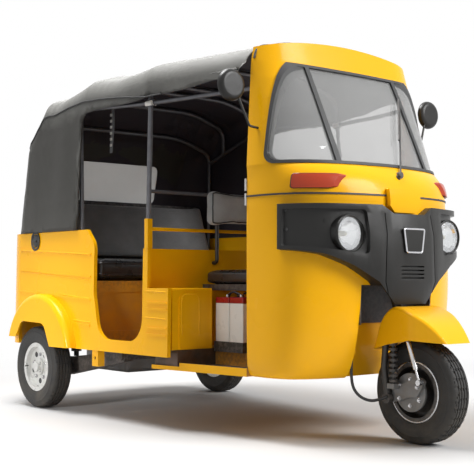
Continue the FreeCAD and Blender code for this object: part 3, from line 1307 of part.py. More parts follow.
def saddle_pieces():
    """The driver's cushion and the pan and legs that carry it."""
    cushion = soft_block(SADDLE_REAR_X, SADDLE_FRONT_X, -SADDLE_HALF, SADDLE_HALF, SADDLE_BASE_Z, SADDLE_TOP_Z, SADDLE_ROUND)
    inset = SADDLE_ROUND
    pan = box(SADDLE_REAR_X - inset, SADDLE_FRONT_X - inset, -SADDLE_HALF + inset, SADDLE_HALF - inset,
              SADDLE_PAN_Z, SADDLE_BASE_Z - SEAT_GAP)
    leg_x = PLINTH_FRONT_X - SADDLE_LEG_HALF * 2
    legs = []
    for side in (-1, 1):
        y = side * (CASE_OUTER_Y + CASE_DEPTH + SADDLE_LEG_HALF * 3)
        legs.append(box(leg_x - SADDLE_LEG_HALF, leg_x + SADDLE_LEG_HALF, y - SADDLE_LEG_HALF, y + SADDLE_LEG_HALF,
                        PLINTH_TOP_Z, SADDLE_PAN_Z))
    wall_x = DOOR_FRONT_X + WALL + SEAT_GAP * 2
    bracket = box(wall_x, SADDLE_REAR_X, -BACK_STAY_Y, BACK_STAY_Y, SADDLE_PAN_Z, SADDLE_BASE_Z - SEAT_GAP)
    return cushion, pan.fuse(legs + [bracket]).removeSplitter()


def driver_back():
    """The driver's padded backrest."""
    return soft_block(DRIVER_BACK_X, DRIVER_BACK_X + DRIVER_BACK_THICK, -DRIVER_BACK_HALF, DRIVER_BACK_HALF,
                      DRIVER_BACK_BASE_Z, DRIVER_BACK_TOP_Z, DRIVER_BACK_THICK / 2 - 1)


def back_stays():
    """The two stays that carry the driver's backrest from the cross bars' wall."""
    stays = []
    for side in (-1, 1):
        y = side * BACK_STAY_Y
        foot = V(DOOR_FRONT_X + WALL + BACK_STAY_RADIUS * 3, y, POST_TOP_Z - CUT)
        top = V(foot.x, y, (DRIVER_BACK_BASE_Z + DRIVER_BACK_TOP_Z) / 2)
        wall = V(DOOR_FRONT_X + WALL + SEAT_GAP * 2, y, foot.z)
        pad = V(DRIVER_BACK_X - SEAT_GAP, y, top.z)
        stays.append(bent_tube([wall, foot, top, pad], BACK_STAY_RADIUS, BACK_STAY_RADIUS * 2))
    return Part.makeCompound(stays)


def case_pieces():
    """The battery cases, their lids and the tray."""
    cases, lids = [], []
    base = PLINTH_TOP_Z + CASE_LIFT
    for i in range(CASES):
        x0 = RISER_FRONT_X + CASE_FIRST_STEP + i * (CASE_LENGTH + CASE_GAP)
        x1 = x0 + CASE_LENGTH
        case = box(x0, x1, CASE_OUTER_Y, CASE_OUTER_Y + CASE_DEPTH, base, base + CASE_HEIGHT)
        cases.append(case.makeFillet(CASE_EDGE, edges_along(case, Z_AXIS, V(x0 - 1, -BODY_HALF_WIDTH, 0),
                                                            V(x1 + 1, 0, CAB_TOP_Z))))
        lid = box(x0, x1, CASE_OUTER_Y, CASE_OUTER_Y + CASE_DEPTH, base + CASE_HEIGHT, base + CASE_HEIGHT + CASE_LID)
        lids.append(lid.makeFillet(CASE_EDGE, lid.Edges))
    x0 = cases[0].BoundBox.XMin - TRAY_WALL - SEAT_GAP
    x1 = cases[-1].BoundBox.XMax + TRAY_WALL + SEAT_GAP
    y0, y1 = CASE_OUTER_Y - TRAY_WALL - SEAT_GAP, CASE_OUTER_Y + CASE_DEPTH + TRAY_WALL + SEAT_GAP
    tray = box(x0, x1, y0, y1, base - CASE_LIFT, base + TRAY_LIP)
    tray = tray.cut(box(x0 + TRAY_WALL, x1 - TRAY_WALL, y0 + TRAY_WALL, y1 - TRAY_WALL, base, base + CUT))
    return Part.makeCompound(cases), Part.makeCompound(lids), tray


# Wheels, suspension and engine


def ring_profile(points, centre, side):
    """A solid of revolution about a wheel's axle, from an outline of radius and offset."""
    outline = [V(centre.x, centre.y + side * y, centre.z + r) for r, y in points]
    face = Part.Face(Part.makePolygon(outline + [outline[0]]))
    return face.revolve(centre, Y_AXIS, 360)


def tyre_at(centre):
    """A tyre's plain form: flat crown, chamfered shoulders, bulging walls and beads."""
    outline = list(TYRE_PROFILE) + [(radius, -offset) for radius, offset in reversed(TYRE_PROFILE)]
    return ring_profile(outline, centre, 1)


def rim_at(centre, outer_side):
    """A pressed steel rim with its hub, cap and wheel bolts."""
    half = BEAD_WIDTH / 2
    seat = RIM_SEAT_RADIUS
    lip = half + RIM_FLANGE_WIDTH / 2
    band = [
        (seat, -half), (RIM_FLANGE_RADIUS, -half), (RIM_FLANGE_RADIUS, -lip), (seat - RIM_WALL, -lip),
        (seat - RIM_WALL, lip), (RIM_FLANGE_RADIUS, lip), (RIM_FLANGE_RADIUS, half), (seat, half),
    ]
    rim = ring_profile(band, V(0, 0, 0), 1)
    face_y = outer_side * RIM_DISH_DEPTH
    disc_start = V(0, face_y - RIM_WALL / 2, 0)
    disc = Part.makeCylinder(seat - RIM_WALL + SEAT_GAP, RIM_WALL, disc_start, Y_AXIS)
    cone = ring_profile([(RIM_DISH_RADIUS, 0), (RIM_DISH_RADIUS - RIM_WALL, 0), (HUB_RADIUS, RIM_DISH_DEPTH),
                         (HUB_RADIUS + RIM_WALL, RIM_DISH_DEPTH)], V(0, 0, 0), outer_side)
    hub = Part.makeCylinder(HUB_RADIUS, HUB_LENGTH, V(0, -HUB_LENGTH / 2, 0), Y_AXIS)
    cap_start = V(0, outer_side * HUB_LENGTH / 2, 0)
    cap = Part.makeCylinder(HUB_CAP_RADIUS, HUB_CAP_LENGTH, cap_start, Y_AXIS * outer_side)
    parts = [disc, cone, hub, cap]
    for i in range(WHEEL_BOLTS):
        angle = 2 * math.pi * (i + 0.5) / WHEEL_BOLTS
        spot = V(math.cos(angle) * WHEEL_BOLT_CIRCLE, outer_side * HUB_LENGTH / 2, math.sin(angle) * WHEEL_BOLT_CIRCLE)
        parts.append(Part.makeCylinder(WHEEL_BOLT_RADIUS, WHEEL_BOLT_HEIGHT, spot, Y_AXIS * outer_side))
    rim = rim.fuse(parts)
    bore_start = V(0, -outer_side * (HUB_LENGTH / 2 + CUT), 0)
    rim = rim.cut(Part.makeCylinder(HUB_BORE, HUB_LENGTH + CUT, bore_start, Y_AXIS * outer_side))
    rim.translate(centre)
    return rim


def stub_axle(side):
    """A rear half shaft, from the engine's side into the wheel's hub."""
    end_y = side * (REAR_WHEEL_Y + HUB_LENGTH / 2 - RIM_WALL)
    start = V(REAR_AXLE_X, side * (ENGINE_HALF + SEAT_GAP), TYRE_RADIUS)
    shaft = rod(AXLE_RADIUS, start, V(REAR_AXLE_X, end_y, TYRE_RADIUS))
    drum_y = side * (REAR_WHEEL_Y - HUB_LENGTH / 2 - RUNNING_GAP - DRUM_WIDTH)
    drum = Part.makeCylinder(DRUM_RADIUS, DRUM_WIDTH, V(REAR_AXLE_X, drum_y, TYRE_RADIUS), Y_AXIS * side)
    return shaft.fuse(drum)


def trailing_arm(side):
    """A rear trailing arm, deep at the wheel and slim at its pivot."""
    low_y, high_y = side * ARM_Y - ARM_HALF_WIDTH, side * ARM_Y + ARM_HALF_WIDTH
    tail_x = REAR_AXLE_X - ARM_REAR_HALF_HEIGHT
    points = [
        (ARM_PIVOT_X + ARM_FRONT_HALF_HEIGHT, ARM_PIVOT_Z - ARM_FRONT_HALF_HEIGHT),
        (ARM_PIVOT_X + ARM_FRONT_HALF_HEIGHT, ARM_PIVOT_Z + ARM_FRONT_HALF_HEIGHT),
        (REAR_AXLE_X + ARM_REAR_HALF_HEIGHT, TYRE_RADIUS + ARM_REAR_HALF_HEIGHT),
        (tail_x, TYRE_RADIUS + ARM_REAR_HALF_HEIGHT), (tail_x, TYRE_RADIUS - ARM_REAR_HALF_HEIGHT),
        (REAR_AXLE_X + ARM_REAR_HALF_HEIGHT, TYRE_RADIUS - ARM_REAR_HALF_HEIGHT),
    ]
    arm = side_prism(points, [WALL, WALL, 0, WALL, WALL, 0], low_y, high_y)
    bush = V(ARM_PIVOT_X, low_y - SEAT_GAP, ARM_PIVOT_Z)
    hole = rod(CROSS_TUBE_RADIUS + SEAT_GAP, bush, V(ARM_PIVOT_X, high_y + SEAT_GAP, ARM_PIVOT_Z))
    shaft = rod(AXLE_RADIUS + SEAT_GAP, V(REAR_AXLE_X, low_y - 1, TYRE_RADIUS), V(REAR_AXLE_X, high_y + 1, TYRE_RADIUS))
    return arm.cut(hole).cut(shaft)


def cross_tube():
    """The tube that both trailing arms swing on, with plates up to the floor."""
    reach = ARM_Y + ARM_HALF_WIDTH + PIVOT_PLATE
    tube = rod(CROSS_TUBE_RADIUS, V(ARM_PIVOT_X, -reach, ARM_PIVOT_Z), V(ARM_PIVOT_X, reach, ARM_PIVOT_Z))
    plates = []
    for y in (-reach, -ARM_Y + ARM_HALF_WIDTH + 1, ARM_Y - ARM_HALF_WIDTH - 1 - PIVOT_PLATE, reach - PIVOT_PLATE):
        plates.append(box(ARM_PIVOT_X - CROSS_TUBE_RADIUS, ARM_PIVOT_X + CROSS_TUBE_RADIUS, y, y + PIVOT_PLATE,
                          ARM_PIVOT_Z, CABIN_FLOOR_Z - SHEET))
    return tube.fuse(plates)


def rear_beam():
    """The cross beam that carries the rear springs and the engine."""
    reach = BODY_TOP_HALF_WIDTH - WALL - SEAT_GAP
    half = REAR_BEAM_HALF
    beam = box(REAR_BEAM_X - half, REAR_BEAM_X + half, -reach, reach, REAR_BEAM_Z, REAR_BEAM_Z + half * 2)
    hangers = []
    for side in (-1, 1):
        y = side * (ENGINE_HALF - half)
        hangers.append(box(REAR_BEAM_X - half, REAR_BEAM_X + half, y - half / 2, y + half / 2, ENGINE_TOP_Z, REAR_BEAM_Z))
    return beam.fuse(hangers).removeSplitter()


def rear_damper(side):
    """A rear spring unit between the trailing arm and the beam."""
    share = (REAR_DAMPER_X - REAR_AXLE_X - ARM_REAR_HALF_HEIGHT) / (ARM_PIVOT_X + ARM_FRONT_HALF_HEIGHT - REAR_AXLE_X - ARM_REAR_HALF_HEIGHT)
    arm_top = TYRE_RADIUS + ARM_REAR_HALF_HEIGHT
    low_z = arm_top + share * (ARM_PIVOT_Z + ARM_FRONT_HALF_HEIGHT - arm_top) + WALL
    y = side * REAR_DAMPER_Y
    core_z = low_z - WALL + REAR_DAMPER_RADIUS * 0.07 + SEAT_GAP
    core = rod(REAR_DAMPER_RADIUS / 2, V(REAR_DAMPER_X, y, core_z), V(REAR_DAMPER_X, y, REAR_BEAM_Z - SEAT_GAP))
    coils = []
    pitch = (REAR_BEAM_Z - SEAT_GAP - low_z) / SPRING_TURNS
    for i in range(SPRING_TURNS):
        centre = V(REAR_DAMPER_X, y, low_z + pitch * (i + 0.5))
        coils.append(Part.makeCylinder(REAR_DAMPER_RADIUS, pitch / 2, centre - Z_AXIS * (pitch / 4), Z_AXIS))
    return core.fuse(coils)


def engine_piece():
    """The engine and gearbox as one plain block between the rear wheels."""
    return soft_block(ENGINE_REAR_X, ENGINE_FRONT_X, -ENGINE_HALF, ENGINE_HALF, ENGINE_BASE_Z, ENGINE_TOP_Z - SEAT_GAP,
                      ENGINE_ROUND)


def bumper_piece():
    """The rear bumper tube on two stays."""
    x = REAR_END_X + BUMPER_RADIUS
    tube = rod(BUMPER_RADIUS, V(x, -BUMPER_HALF, BUMPER_Z), V(x, BUMPER_HALF, BUMPER_Z))
    ends = [e for e in tube.Edges if e.Curve.TypeId == "Part::GeomCircle"]
    tube = tube.makeFillet(BUMPER_RADIUS * 0.6, ends)
    stays = []
    for y in (-BUMPER_STAY_Y, BUMPER_STAY_Y):
        stays.append(rod(BUMPER_STAY_RADIUS, V(x, y, BUMPER_Z), V(BODY_REAR_X, y, BUMPER_Z)))
    return tube.fuse(stays)


def steering_head():
    """The tube that guides the steering stem, on a stay from the recess's roof."""
    low, top = steer_point(HEAD_LOW_Z), steer_point(HEAD_TOP_Z)
    tube = rod(HEAD_RADIUS, low, top)
    stay_z = WELL_TOP_Z + CAB_WALL
    plate = box(low.x - HEAD_PLATE_HALF, low.x + HEAD_RADIUS, -HEAD_PLATE_HALF, HEAD_PLATE_HALF,
                stay_z + SEAT_GAP, low.z + HEAD_RADIUS / 2)
    column = plate.fuse(tube)
    return column.cut(rod(STEM_RADIUS + HEAD_GAP, steer_point(STEM_LOW_Z), steer_point(STEM_TOP_Z)))


def stem_piece():
    """The steering stem with the crown over the wheel and the leg down the right side."""
    stem = rod(STEM_RADIUS, steer_point(STEM_LOW_Z), steer_point(STEM_TOP_Z))
    foot = steer_point(CROWN_Z)
    crown = box(CROWN_REAR_X, foot.x + CROWN_HALF_X, FORK_Y - FORK_RADIUS, STEM_RADIUS + FORK_RADIUS,
                CROWN_Z - CROWN_HEIGHT, CROWN_Z)
    reach = box(foot.x, DAMPER_TOP_X + DAMPER_RADIUS, FORK_Y - FORK_RADIUS, FORK_Y + FORK_RADIUS, CROWN_Z - CROWN_HEIGHT, CROWN_Z)
    leg = bent_tube([V(LEG_TOP_X, FORK_Y, CROWN_Z - CROWN_HEIGHT / 2), V(LEG_KNEE_X, FORK_Y, LEG_KNEE_Z),
                     V(LINK_PIVOT_X, FORK_Y, LINK_PIVOT_Z)], FORK_RADIUS, FORK_RADIUS * 4)
    eye = Part.makeCylinder(FORK_RADIUS * 1.6, FORK_RADIUS * 2, V(LINK_PIVOT_X, FORK_Y - FORK_RADIUS, LINK_PIVOT_Z), Y_AXIS)
    return stem.fuse([crown, reach, leg, eye])


def link_piece():
    """The trailing link from the fork leg to the axle, with the brake plate."""
    y0, y1 = FORK_Y + FORK_RADIUS + SEAT_GAP, FORK_Y + FORK_RADIUS + SEAT_GAP + LINK_THICK
    arm = side_prism(LINK_OUTLINE, [LINK_ROUND] * len(LINK_OUTLINE), y0, y1)
    plate = Part.makeCylinder(DRUM_RADIUS, DRUM_PLATE_THICK, V(FRONT_AXLE_X, y1 - 1, TYRE_RADIUS), Y_AXIS)
    shaft = rod(AXLE_RADIUS, V(FRONT_AXLE_X, y0, TYRE_RADIUS), V(FRONT_AXLE_X, HUB_LENGTH / 2 - RIM_WALL, TYRE_RADIUS))
    shelf = box(SPRING_X - SPRING_RADIUS, SPRING_X + SPRING_RADIUS, FORK_Y - SPRING_RADIUS, y1,
                SPRING_LOW_Z - LINK_SHELF - SEAT_GAP, SPRING_LOW_Z - SEAT_GAP)
    return arm.fuse([plate, shaft, shelf])


def front_spring():
    """The coil spring on its guide, between the link and the crown."""
    y = FORK_Y
    low = V(SPRING_X, y, SPRING_LOW_Z)
    top = V(SPRING_X, y, CROWN_Z - CROWN_HEIGHT - SEAT_GAP)
    core = rod(SPRING_CORE, low, top)
    coils = []
    pitch = (SPRING_TOP_Z - SPRING_LOW_Z) / SPRING_TURNS
    for i in range(SPRING_TURNS):
        coils.append(Part.makeCylinder(SPRING_RADIUS, pitch / 2, V(SPRING_X, y, SPRING_LOW_Z + pitch * (i + 0.25)), Z_AXIS))
    return core.fuse(coils)


def front_damper():
    """The damper: a tube below and a bright rod above."""
    low, top = V(DAMPER_LOW_X, FORK_Y, DAMPER_LOW_Z), V(DAMPER_TOP_X, FORK_Y, CROWN_Z - CROWN_HEIGHT - SEAT_GAP)
    run = top - low
    body = rod(DAMPER_RADIUS, low + run * DAMPER_BODY_SHARE, top)
    stick = rod(DAMPER_ROD_RADIUS, low, low + run * (DAMPER_BODY_SHARE * 2))
    eye = rod(DAMPER_EYE_RADIUS, low - Y_AXIS * DAMPER_RADIUS, low + Y_AXIS * FORK_RADIUS)
    above = box(top.x - CUT, low.x + CUT, FORK_Y - CUT, FORK_Y + CUT, top.z, top.z + CUT)
    return body.fuse([stick, eye]).cut(above)


def bar_pieces():
    """The handlebar with its cover, and the two grips."""
    centre = steer_point(STEM_TOP_Z)
    high = centre + Z_AXIS * (BAR_RADIUS)
    left = V(high.x - BAR_SWEEP, BAR_HALF, high.z)
    mid = V(high.x, BAR_COVER_HALF, high.z)
    tube = bent_tube([left, mid, V(mid.x, -mid.y, mid.z), V(left.x, -left.y, left.z)], BAR_RADIUS, BAR_RADIUS * 3)
    cover = soft_block(high.x - BAR_COVER_DEPTH / 2, high.x + BAR_COVER_DEPTH / 2, -BAR_COVER_HALF, BAR_COVER_HALF,
                       high.z - BAR_COVER_HEIGHT / 2, high.z + BAR_COVER_HEIGHT / 2, BAR_COVER_ROUND)
    run = (left - mid).normalize()
    start = left - run * GRIP_LENGTH
    sleeve = rod(GRIP_RADIUS, start, left + run * BAR_RADIUS).cut(rod(BAR_RADIUS, start - run, left))
    bar = tube.fuse(cover).cut(rod(STEM_RADIUS, steer_point(STEM_LOW_Z), steer_point(STEM_TOP_Z)))
    return bar, Part.makeCompound([sleeve, mirrored(sleeve)])


def fender_form(inset):
    """The front mudguard's form: an arch from the side, narrowing to its tip and heel from above."""
    arch = [V(x, 0, z) for x, z in FENDER_ARCH]
    tip, heel = arch[0], arch[-1]
    if inset:
        moved = [tip - X_AXIS * inset]
        for before, point, after in zip(arch, arch[1:], arch[2:]):
            run = (after - before).normalize()
            moved.append(point + V(-run.z, 0, run.x) * inset)
        arch = moved + [heel + X_AXIS * inset]
    curve = Part.BSplineCurve()
    curve.interpolate(arch)
    low = CUT if inset else 0
    ring = [arch[-1], V(arch[-1].x, 0, heel.z - low), V(FENDER_LOW_REAR[0], 0, FENDER_LOW_REAR[1] - low),
            V(FENDER_LOW_MID[0], 0, FENDER_LOW_MID[1] - low), V(arch[0].x, 0, tip.z - low), arch[0]]
    edges = [curve.toShape()]
    for start, end in zip(ring, ring[1:]):
        if (end - start).Length > 0:
            edges.append(Part.LineSegment(start, end).toShape())
    wide = FENDER_HALF + CUT
    face = Part.Face(Part.Wire(edges))
    face.translate(V(0, -wide, 0))
    rear_x, front_x = heel.x - CUT, tip.x + CUT
    heel_half, half, tip_half = FENDER_HEEL_HALF - inset, FENDER_HALF - inset, FENDER_TIP_HALF - inset
    slope = (FENDER_HALF - FENDER_TIP_HALF) / (tip.x - FENDER_SHOULDER_X)
    tip_half = tip_half - slope * CUT
    plan = plan_prism(
        [(rear_x, -heel_half), (FENDER_SHOULDER_X, -half), (front_x, -tip_half), (front_x, tip_half),
         (FENDER_SHOULDER_X, half), (rear_x, heel_half)],
        [0, FENDER_SHOULDER_ROUND - inset, 0, 0, FENDER_SHOULDER_ROUND - inset, 0], 0, FENDER_TOP_Z + CUT)
    return face.extrude(V(0, wide * 2, 0)).common(plan)


def fender_piece():
    """The front mudguard: an arched top over upright sides, chamfered towards the tip."""
    outer = fender_form(0)
    rims = []
    for edge in outer.Edges:
        size = edge.BoundBox
        if size.ZMax > FENDER_LOW_MID[1] + FENDER_ROUND and size.XLength > FENDER_ROUND and size.ZLength > 1:
            rims.append(edge)
    outer = outer.makeFillet(FENDER_ROUND, rims)
    shell = outer.cut(fender_form(FENDER_WALL))
    return shell.cut(rod(STEM_RADIUS + SEAT_GAP, steer_point(STEM_LOW_Z), steer_point(STEM_TOP_Z)))


def bend_radii(points):
    """The radius of each bend of a cord, from the shorter of the runs beside it and its turn."""
    radii = [0]
    for before, point, after in zip(points, points[1:], points[2:]):
        run_in, run_out = point - before, after - point
        turn = run_in.getAngle(run_out)
        radii.append(HOSE_BEND_SHARE * min(run_in.Length, run_out.Length) / math.tan(turn / 2))
    return radii + [0]


def hose_piece():
    """The brake hose: it hangs from its gland and bends up to the fork's eye."""
    points = [V(*p) for p in HOSE_PATH]
    radii = bend_radii(points)
    print("hose bend radii", [round(r) for r in radii[1:-1]])
    path = rounded_outline(points, radii, closed=False)
    ring = Part.Wire(Part.makeCircle(HOSE_RADIUS, points[0], points[1] - points[0]))
    hose = path.makePipeShell([ring], True, False)
    face_y = FORK_Y - FORK_RADIUS - SEAT_GAP
    beyond = box(LINK_PIVOT_X - CUT, LINK_PIVOT_X + CUT, face_y, face_y + CUT, 0, CROWN_Z)
    return main_solid(hose.cut(beyond))


def screen_point(y, z):
    """A point of the screen's surface, moved forwards to where the wiper lies."""
    share = (z - CAB_SCREEN_FOOT_Z) / (CAB_SCREEN_HEAD_Z - CAB_SCREEN_FOOT_Z)
    reach = CAB_SCREEN_FOOT_X + (CAB_SCREEN_HEAD_X - CAB_SCREEN_FOOT_X) * share - CAB_REAR_X
    half = CAB_HALF_WIDTH + (CAB_HEADER_HALF_WIDTH - CAB_HALF_WIDTH) * share
    line = []
    for low, high in zip(SCREEN_PLAN_SHARES, HEAD_PLAN_SHARES):
        line.append((low[0] + (high[0] - low[0]) * share, low[1] + (high[1] - low[1]) * share))
    for before, after in zip(line, line[1:]):
        if after[1] <= abs(y) / half <= before[1]:
            part = (abs(y) / half - before[1]) / (after[1] - before[1])
            x_share = before[0] + (after[0] - before[0]) * part
    return V(CAB_REAR_X + reach * x_share + WIPER_STAND_OFF, y, z)


def wiper_piece():
    """The wiper: a boss, an arm that leans to the left and a blade that lies off the glass."""
    foot = V(CAB_SCREEN_FOOT_X + WIPER_STAND_OFF + WIPER_BOSS_RADIUS, WIPER_FOOT_Y, WIPER_FOOT_Z)
    boss = rod(WIPER_BOSS_RADIUS, foot - X_AXIS * (WIPER_BOSS_RADIUS * 3), foot)
    boss = boss.cut(cab_lower(-SEAT_GAP, CAB_BASE_Z, CAB_REAR_X))
    arm_top = screen_point(*WIPER_ARM_TOP)
    arm = rod(WIPER_ARM_RADIUS, foot - X_AXIS * WIPER_ARM_RADIUS, arm_top)
    low, top = screen_point(*WIPER_BLADE_LOW), screen_point(*WIPER_BLADE_TOP)
    blade = rod(BLADE_HALF, low, top)
    tip = rod(WIPER_ARM_RADIUS, arm_top, low + (top - low) * WIPER_CLIP_SHARE)
    return main_solid(boss.fuse([arm, blade, tip]))


def mirror_pieces():
    """The right mirror: its stalk with a round back, and its glass."""
    head = V(MIRROR_X, -MIRROR_Y, MIRROR_Z)
    bowl = Part.makeCylinder(MIRROR_RADIUS, MIRROR_DEPTH, head, X_AXIS)
    front_edge = [e for e in bowl.Edges if e.CenterOfMass.x > MIRROR_X + MIRROR_DEPTH / 2 and e.Curve.TypeId == "Part::GeomCircle"]
    bowl = bowl.makeFillet(MIRROR_DEPTH * 0.8, front_edge)
    foot = V(MIRROR_FOOT_X, -MIRROR_FOOT_Y, MIRROR_FOOT_Z)
    stalk = bent_tube([foot, foot + V(0, -CUT * 0.8, MIRROR_STALK_RADIUS), head + V(MIRROR_DEPTH / 2, MIRROR_RADIUS / 2, -MIRROR_RADIUS * 0.7),
                       head + V(MIRROR_DEPTH / 2, 0, -MIRROR_RADIUS / 4)], MIRROR_STALK_RADIUS, MIRROR_STALK_RADIUS * 3)
    body = stalk.fuse(bowl).cut(cab_upper(-SEAT_GAP, CAB_REAR_X, CAB_TOP_Z))
    glass = Part.makeCylinder(MIRROR_RADIUS - MIRROR_GLASS, MIRROR_GLASS, head - X_AXIS * (MIRROR_GLASS + SEAT_GAP), X_AXIS)
    return main_solid(body), glass


def step_piece():
    """The small bracket that hangs under the right sill."""
    x0 = STEP_X - STEP_WIDTH / 2
    reach = BODY_TOP_HALF_WIDTH - WALL - SEAT_GAP
    front = box(x0, x0 + STEP_WIDTH, -reach, -reach + STEP_SHEET, BODY_SILL_Z + SEAT_GAP - STEP_DROP, CABIN_FLOOR_Z - SHEET - SEAT_GAP)
    foot = box(x0, x0 + STEP_WIDTH, -reach, -reach + STEP_DEPTH, BODY_SILL_Z - STEP_DROP, BODY_SILL_Z - STEP_DROP + STEP_SHEET)
    ribs = box(x0 + STEP_WIDTH - STEP_SHEET, x0 + STEP_WIDTH, -reach, -reach + STEP_DEPTH, BODY_SILL_Z - STEP_DROP,
               CABIN_FLOOR_Z - SHEET - SEAT_GAP)
    bracket = front.fuse([foot, ribs])
    spot = V(STEP_X, -reach, BODY_SILL_Z - STEP_DROP / 2)
    return bracket.cut(rod(STEP_HOLE_RADIUS, spot - Y_AXIS * CUT, spot + Y_AXIS * CUT))


def tail_lamps():
    """The two rear lamps on the rear panel."""
    y0, y1 = -TAIL_Y - TAIL_WIDTH / 2, -TAIL_Y + TAIL_WIDTH / 2
    z0, z1 = TAIL_Z - TAIL_HEIGHT, TAIL_Z
    block = front_prism([(y0, z0), (y1, z0), (y1, z1), (y0, z1)], [TAIL_ROUND] * 4, BODY_REAR_X - TAIL_THICK, BODY_REAR_X + CUT)
    return block.cut(tub_form(-SEAT_GAP))


def export(name, shape):
    """Moves a shape into the vehicle's frame and writes it under its node's name."""
    moved = shape.copy()
    moved.translate(V(SHIFT_X, 0, 0))
    solids = [s for s in moved.Solids if s.Volume > 1]
    whole = solids[0] if len(solids) == 1 else Part.makeCompound(solids)
    if not whole.isValid():
        print("not valid:", name)
    whole.exportStep(os.path.join(OUT, name + ".step"))
    size = whole.BoundBox
    print(f"{name:24s} solids {len(solids)}  X {size.XMin:8.1f} {size.XMax:8.1f}  Y {size.YMin:8.1f} {size.YMax:8.1f}"
          f"  Z {size.ZMin:8.1f} {size.ZMax:8.1f}")


def build():
    """Builds and writes every sub-part."""
    os.makedirs(OUT, exist_ok=True)
    lower, bead, upper = cab_pieces()
    export("cab_lower_shell", lower)
    export("cab_screen_surround", upper)
    panes, surround = glass_pieces()
    export("windscreen_glass", panes)
    export("cab_rubber", Part.makeCompound([bead, surround]))
    export("front_mask", shield_details(mask_piece()))
    export("front_badge", badge_piece())
    export("nose_flap", flap_piece())
    export("wheel_recess_liner", liner_piece())
    bowl, lens = lamp_pieces()
    export("headlamp_bowls", both_sides(bowl))
    export("headlamp_lenses", both_sides(lens))
    export("front_turn_signals", both_sides(signal_piece()))
    right = side_panel()
    export("side_panel_right", right)
    export("side_panel_left", mirrored(right))
    moving, fixed = lid_knuckles()
    export("rear_panel", rear_panel().fuse(fixed))
    export("rear_lid", lid_piece().fuse(moving))
    flare = flare_piece()
    export("rear_mudguards", both_sides(flare))
    export("cabin_floor", cabin_floor())
    export("driver_floor", driver_floor())
    export("seat_plinth", plinth_piece())
    export("sill_brackets", both_sides(step_piece()))
    export("partition", partition_piece())
    export("bench_base", seat_box())
    export("bench_cushion", bench_cushion())
    export("bench_backrest", bench_back())
    export("backrest_stand", back_stand())
    canopy, pane = canopy_pieces()
    export("canopy", canopy)
    export("canopy_window", pane)
    export("canopy_frame", canopy_frame())
    cushion, pan = saddle_pieces()
    export("driver_cushion", cushion)
    cases, lids, tray = case_pieces()
    export("driver_seat_frame", Part.makeCompound([pan, back_stays(), tray]))
    export("driver_backrest", driver_back())
    export("battery_cases", cases)
    export("battery_lids", lids)
    front = V(FRONT_AXLE_X, 0, TYRE_RADIUS)
    export("front_tyre", tyre_at(front))
    export("front_rim", rim_at(front, 1))
    for side, word in ((-1, "right"), (1, "left")):
        centre = V(REAR_AXLE_X, side * REAR_WHEEL_Y, TYRE_RADIUS)
        export(f"rear_tyre_{word}", tyre_at(centre))
        export(f"rear_rim_{word}", rim_at(centre, side))
    export("rear_half_shafts", Part.makeCompound([stub_axle(-1), stub_axle(1)]))
    export("trailing_arms", Part.makeCompound([trailing_arm(-1), trailing_arm(1)]))
    export("rear_subframe", Part.makeCompound([cross_tube(), rear_beam()]))
    export("rear_springs", Part.makeCompound([rear_damper(-1), rear_damper(1)]))
    export("engine_block", engine_piece())
    export("rear_bumper", bumper_piece())
    export("steering_head", steering_head())
    export("steering_stem", stem_piece())
    export("front_link", link_piece())
    export("front_spring", front_spring())
    export("front_damper", front_damper())
    bar, grips = bar_pieces()
    export("handlebar", Part.makeCompound([bar, grips]))
    export("front_mudguard", fender_piece())
    export("brake_hose", hose_piece())
    export("wiper", wiper_piece())
    stalk, glass = mirror_pieces()
    export("mirrors", both_sides(stalk))
    export("mirror_glasses", both_sides(glass))
    export("tail_lamps", both_sides(tail_lamps()))


build()
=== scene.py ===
"""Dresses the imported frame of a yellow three-wheeled taxi: paint, trim, seats, canopy, tyres and light."""

import math

import bpy
from mathutils import Matrix, Vector, noise
from mathutils.bvhtree import BVHTree


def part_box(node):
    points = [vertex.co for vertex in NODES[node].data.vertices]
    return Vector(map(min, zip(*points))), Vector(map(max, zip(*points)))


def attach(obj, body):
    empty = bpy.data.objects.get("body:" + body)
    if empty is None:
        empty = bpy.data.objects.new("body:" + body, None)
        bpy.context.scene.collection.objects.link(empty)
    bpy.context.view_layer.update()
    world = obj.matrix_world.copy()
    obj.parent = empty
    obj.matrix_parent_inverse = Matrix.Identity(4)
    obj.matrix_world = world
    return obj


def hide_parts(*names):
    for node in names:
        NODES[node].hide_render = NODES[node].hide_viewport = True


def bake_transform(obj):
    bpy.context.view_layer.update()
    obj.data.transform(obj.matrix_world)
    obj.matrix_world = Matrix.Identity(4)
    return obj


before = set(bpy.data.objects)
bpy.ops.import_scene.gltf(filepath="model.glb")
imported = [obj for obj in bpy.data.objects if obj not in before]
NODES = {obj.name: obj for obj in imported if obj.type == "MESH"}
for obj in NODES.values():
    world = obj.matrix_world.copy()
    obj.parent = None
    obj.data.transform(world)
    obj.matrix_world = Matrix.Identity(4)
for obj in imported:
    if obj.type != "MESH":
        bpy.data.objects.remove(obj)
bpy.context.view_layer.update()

# Camera and light

CAMERA_AT = (3.8095, -3.200, 0.655)
CAMERA_TARGET = (0.0522, -0.0725, 0.850)
CAMERA_LENS = 78.3
LAMPS = (
    ("key_lamp", (5.4, 2.2, 4.0), 3.2, 400),
    ("rear_lamp", (-5.0, 3.0, 3.6), 4.0, 150),
    ("top_lamp", (-0.8, -1.0, 5.2), 2.4, 380),
)
LAMP_TARGET = (0.0, 0.0, 0.8)
POOL_LAMP_AT = (0.9, -5.4, 1.7)
POOL_LAMP_TARGET = (-0.80, -0.60, 0.40)
POOL_LAMP_POWER = 760
POOL_LAMP_CONE = math.radians(19.0)
POOL_LAMP_SIZE = 0.5
AMBIENT_STRENGTH = 0.30
FLOOR_SIZE = 60.0
FLOOR_LIFT = -0.001
FLOOR_FADE = (1.9, 4.2)


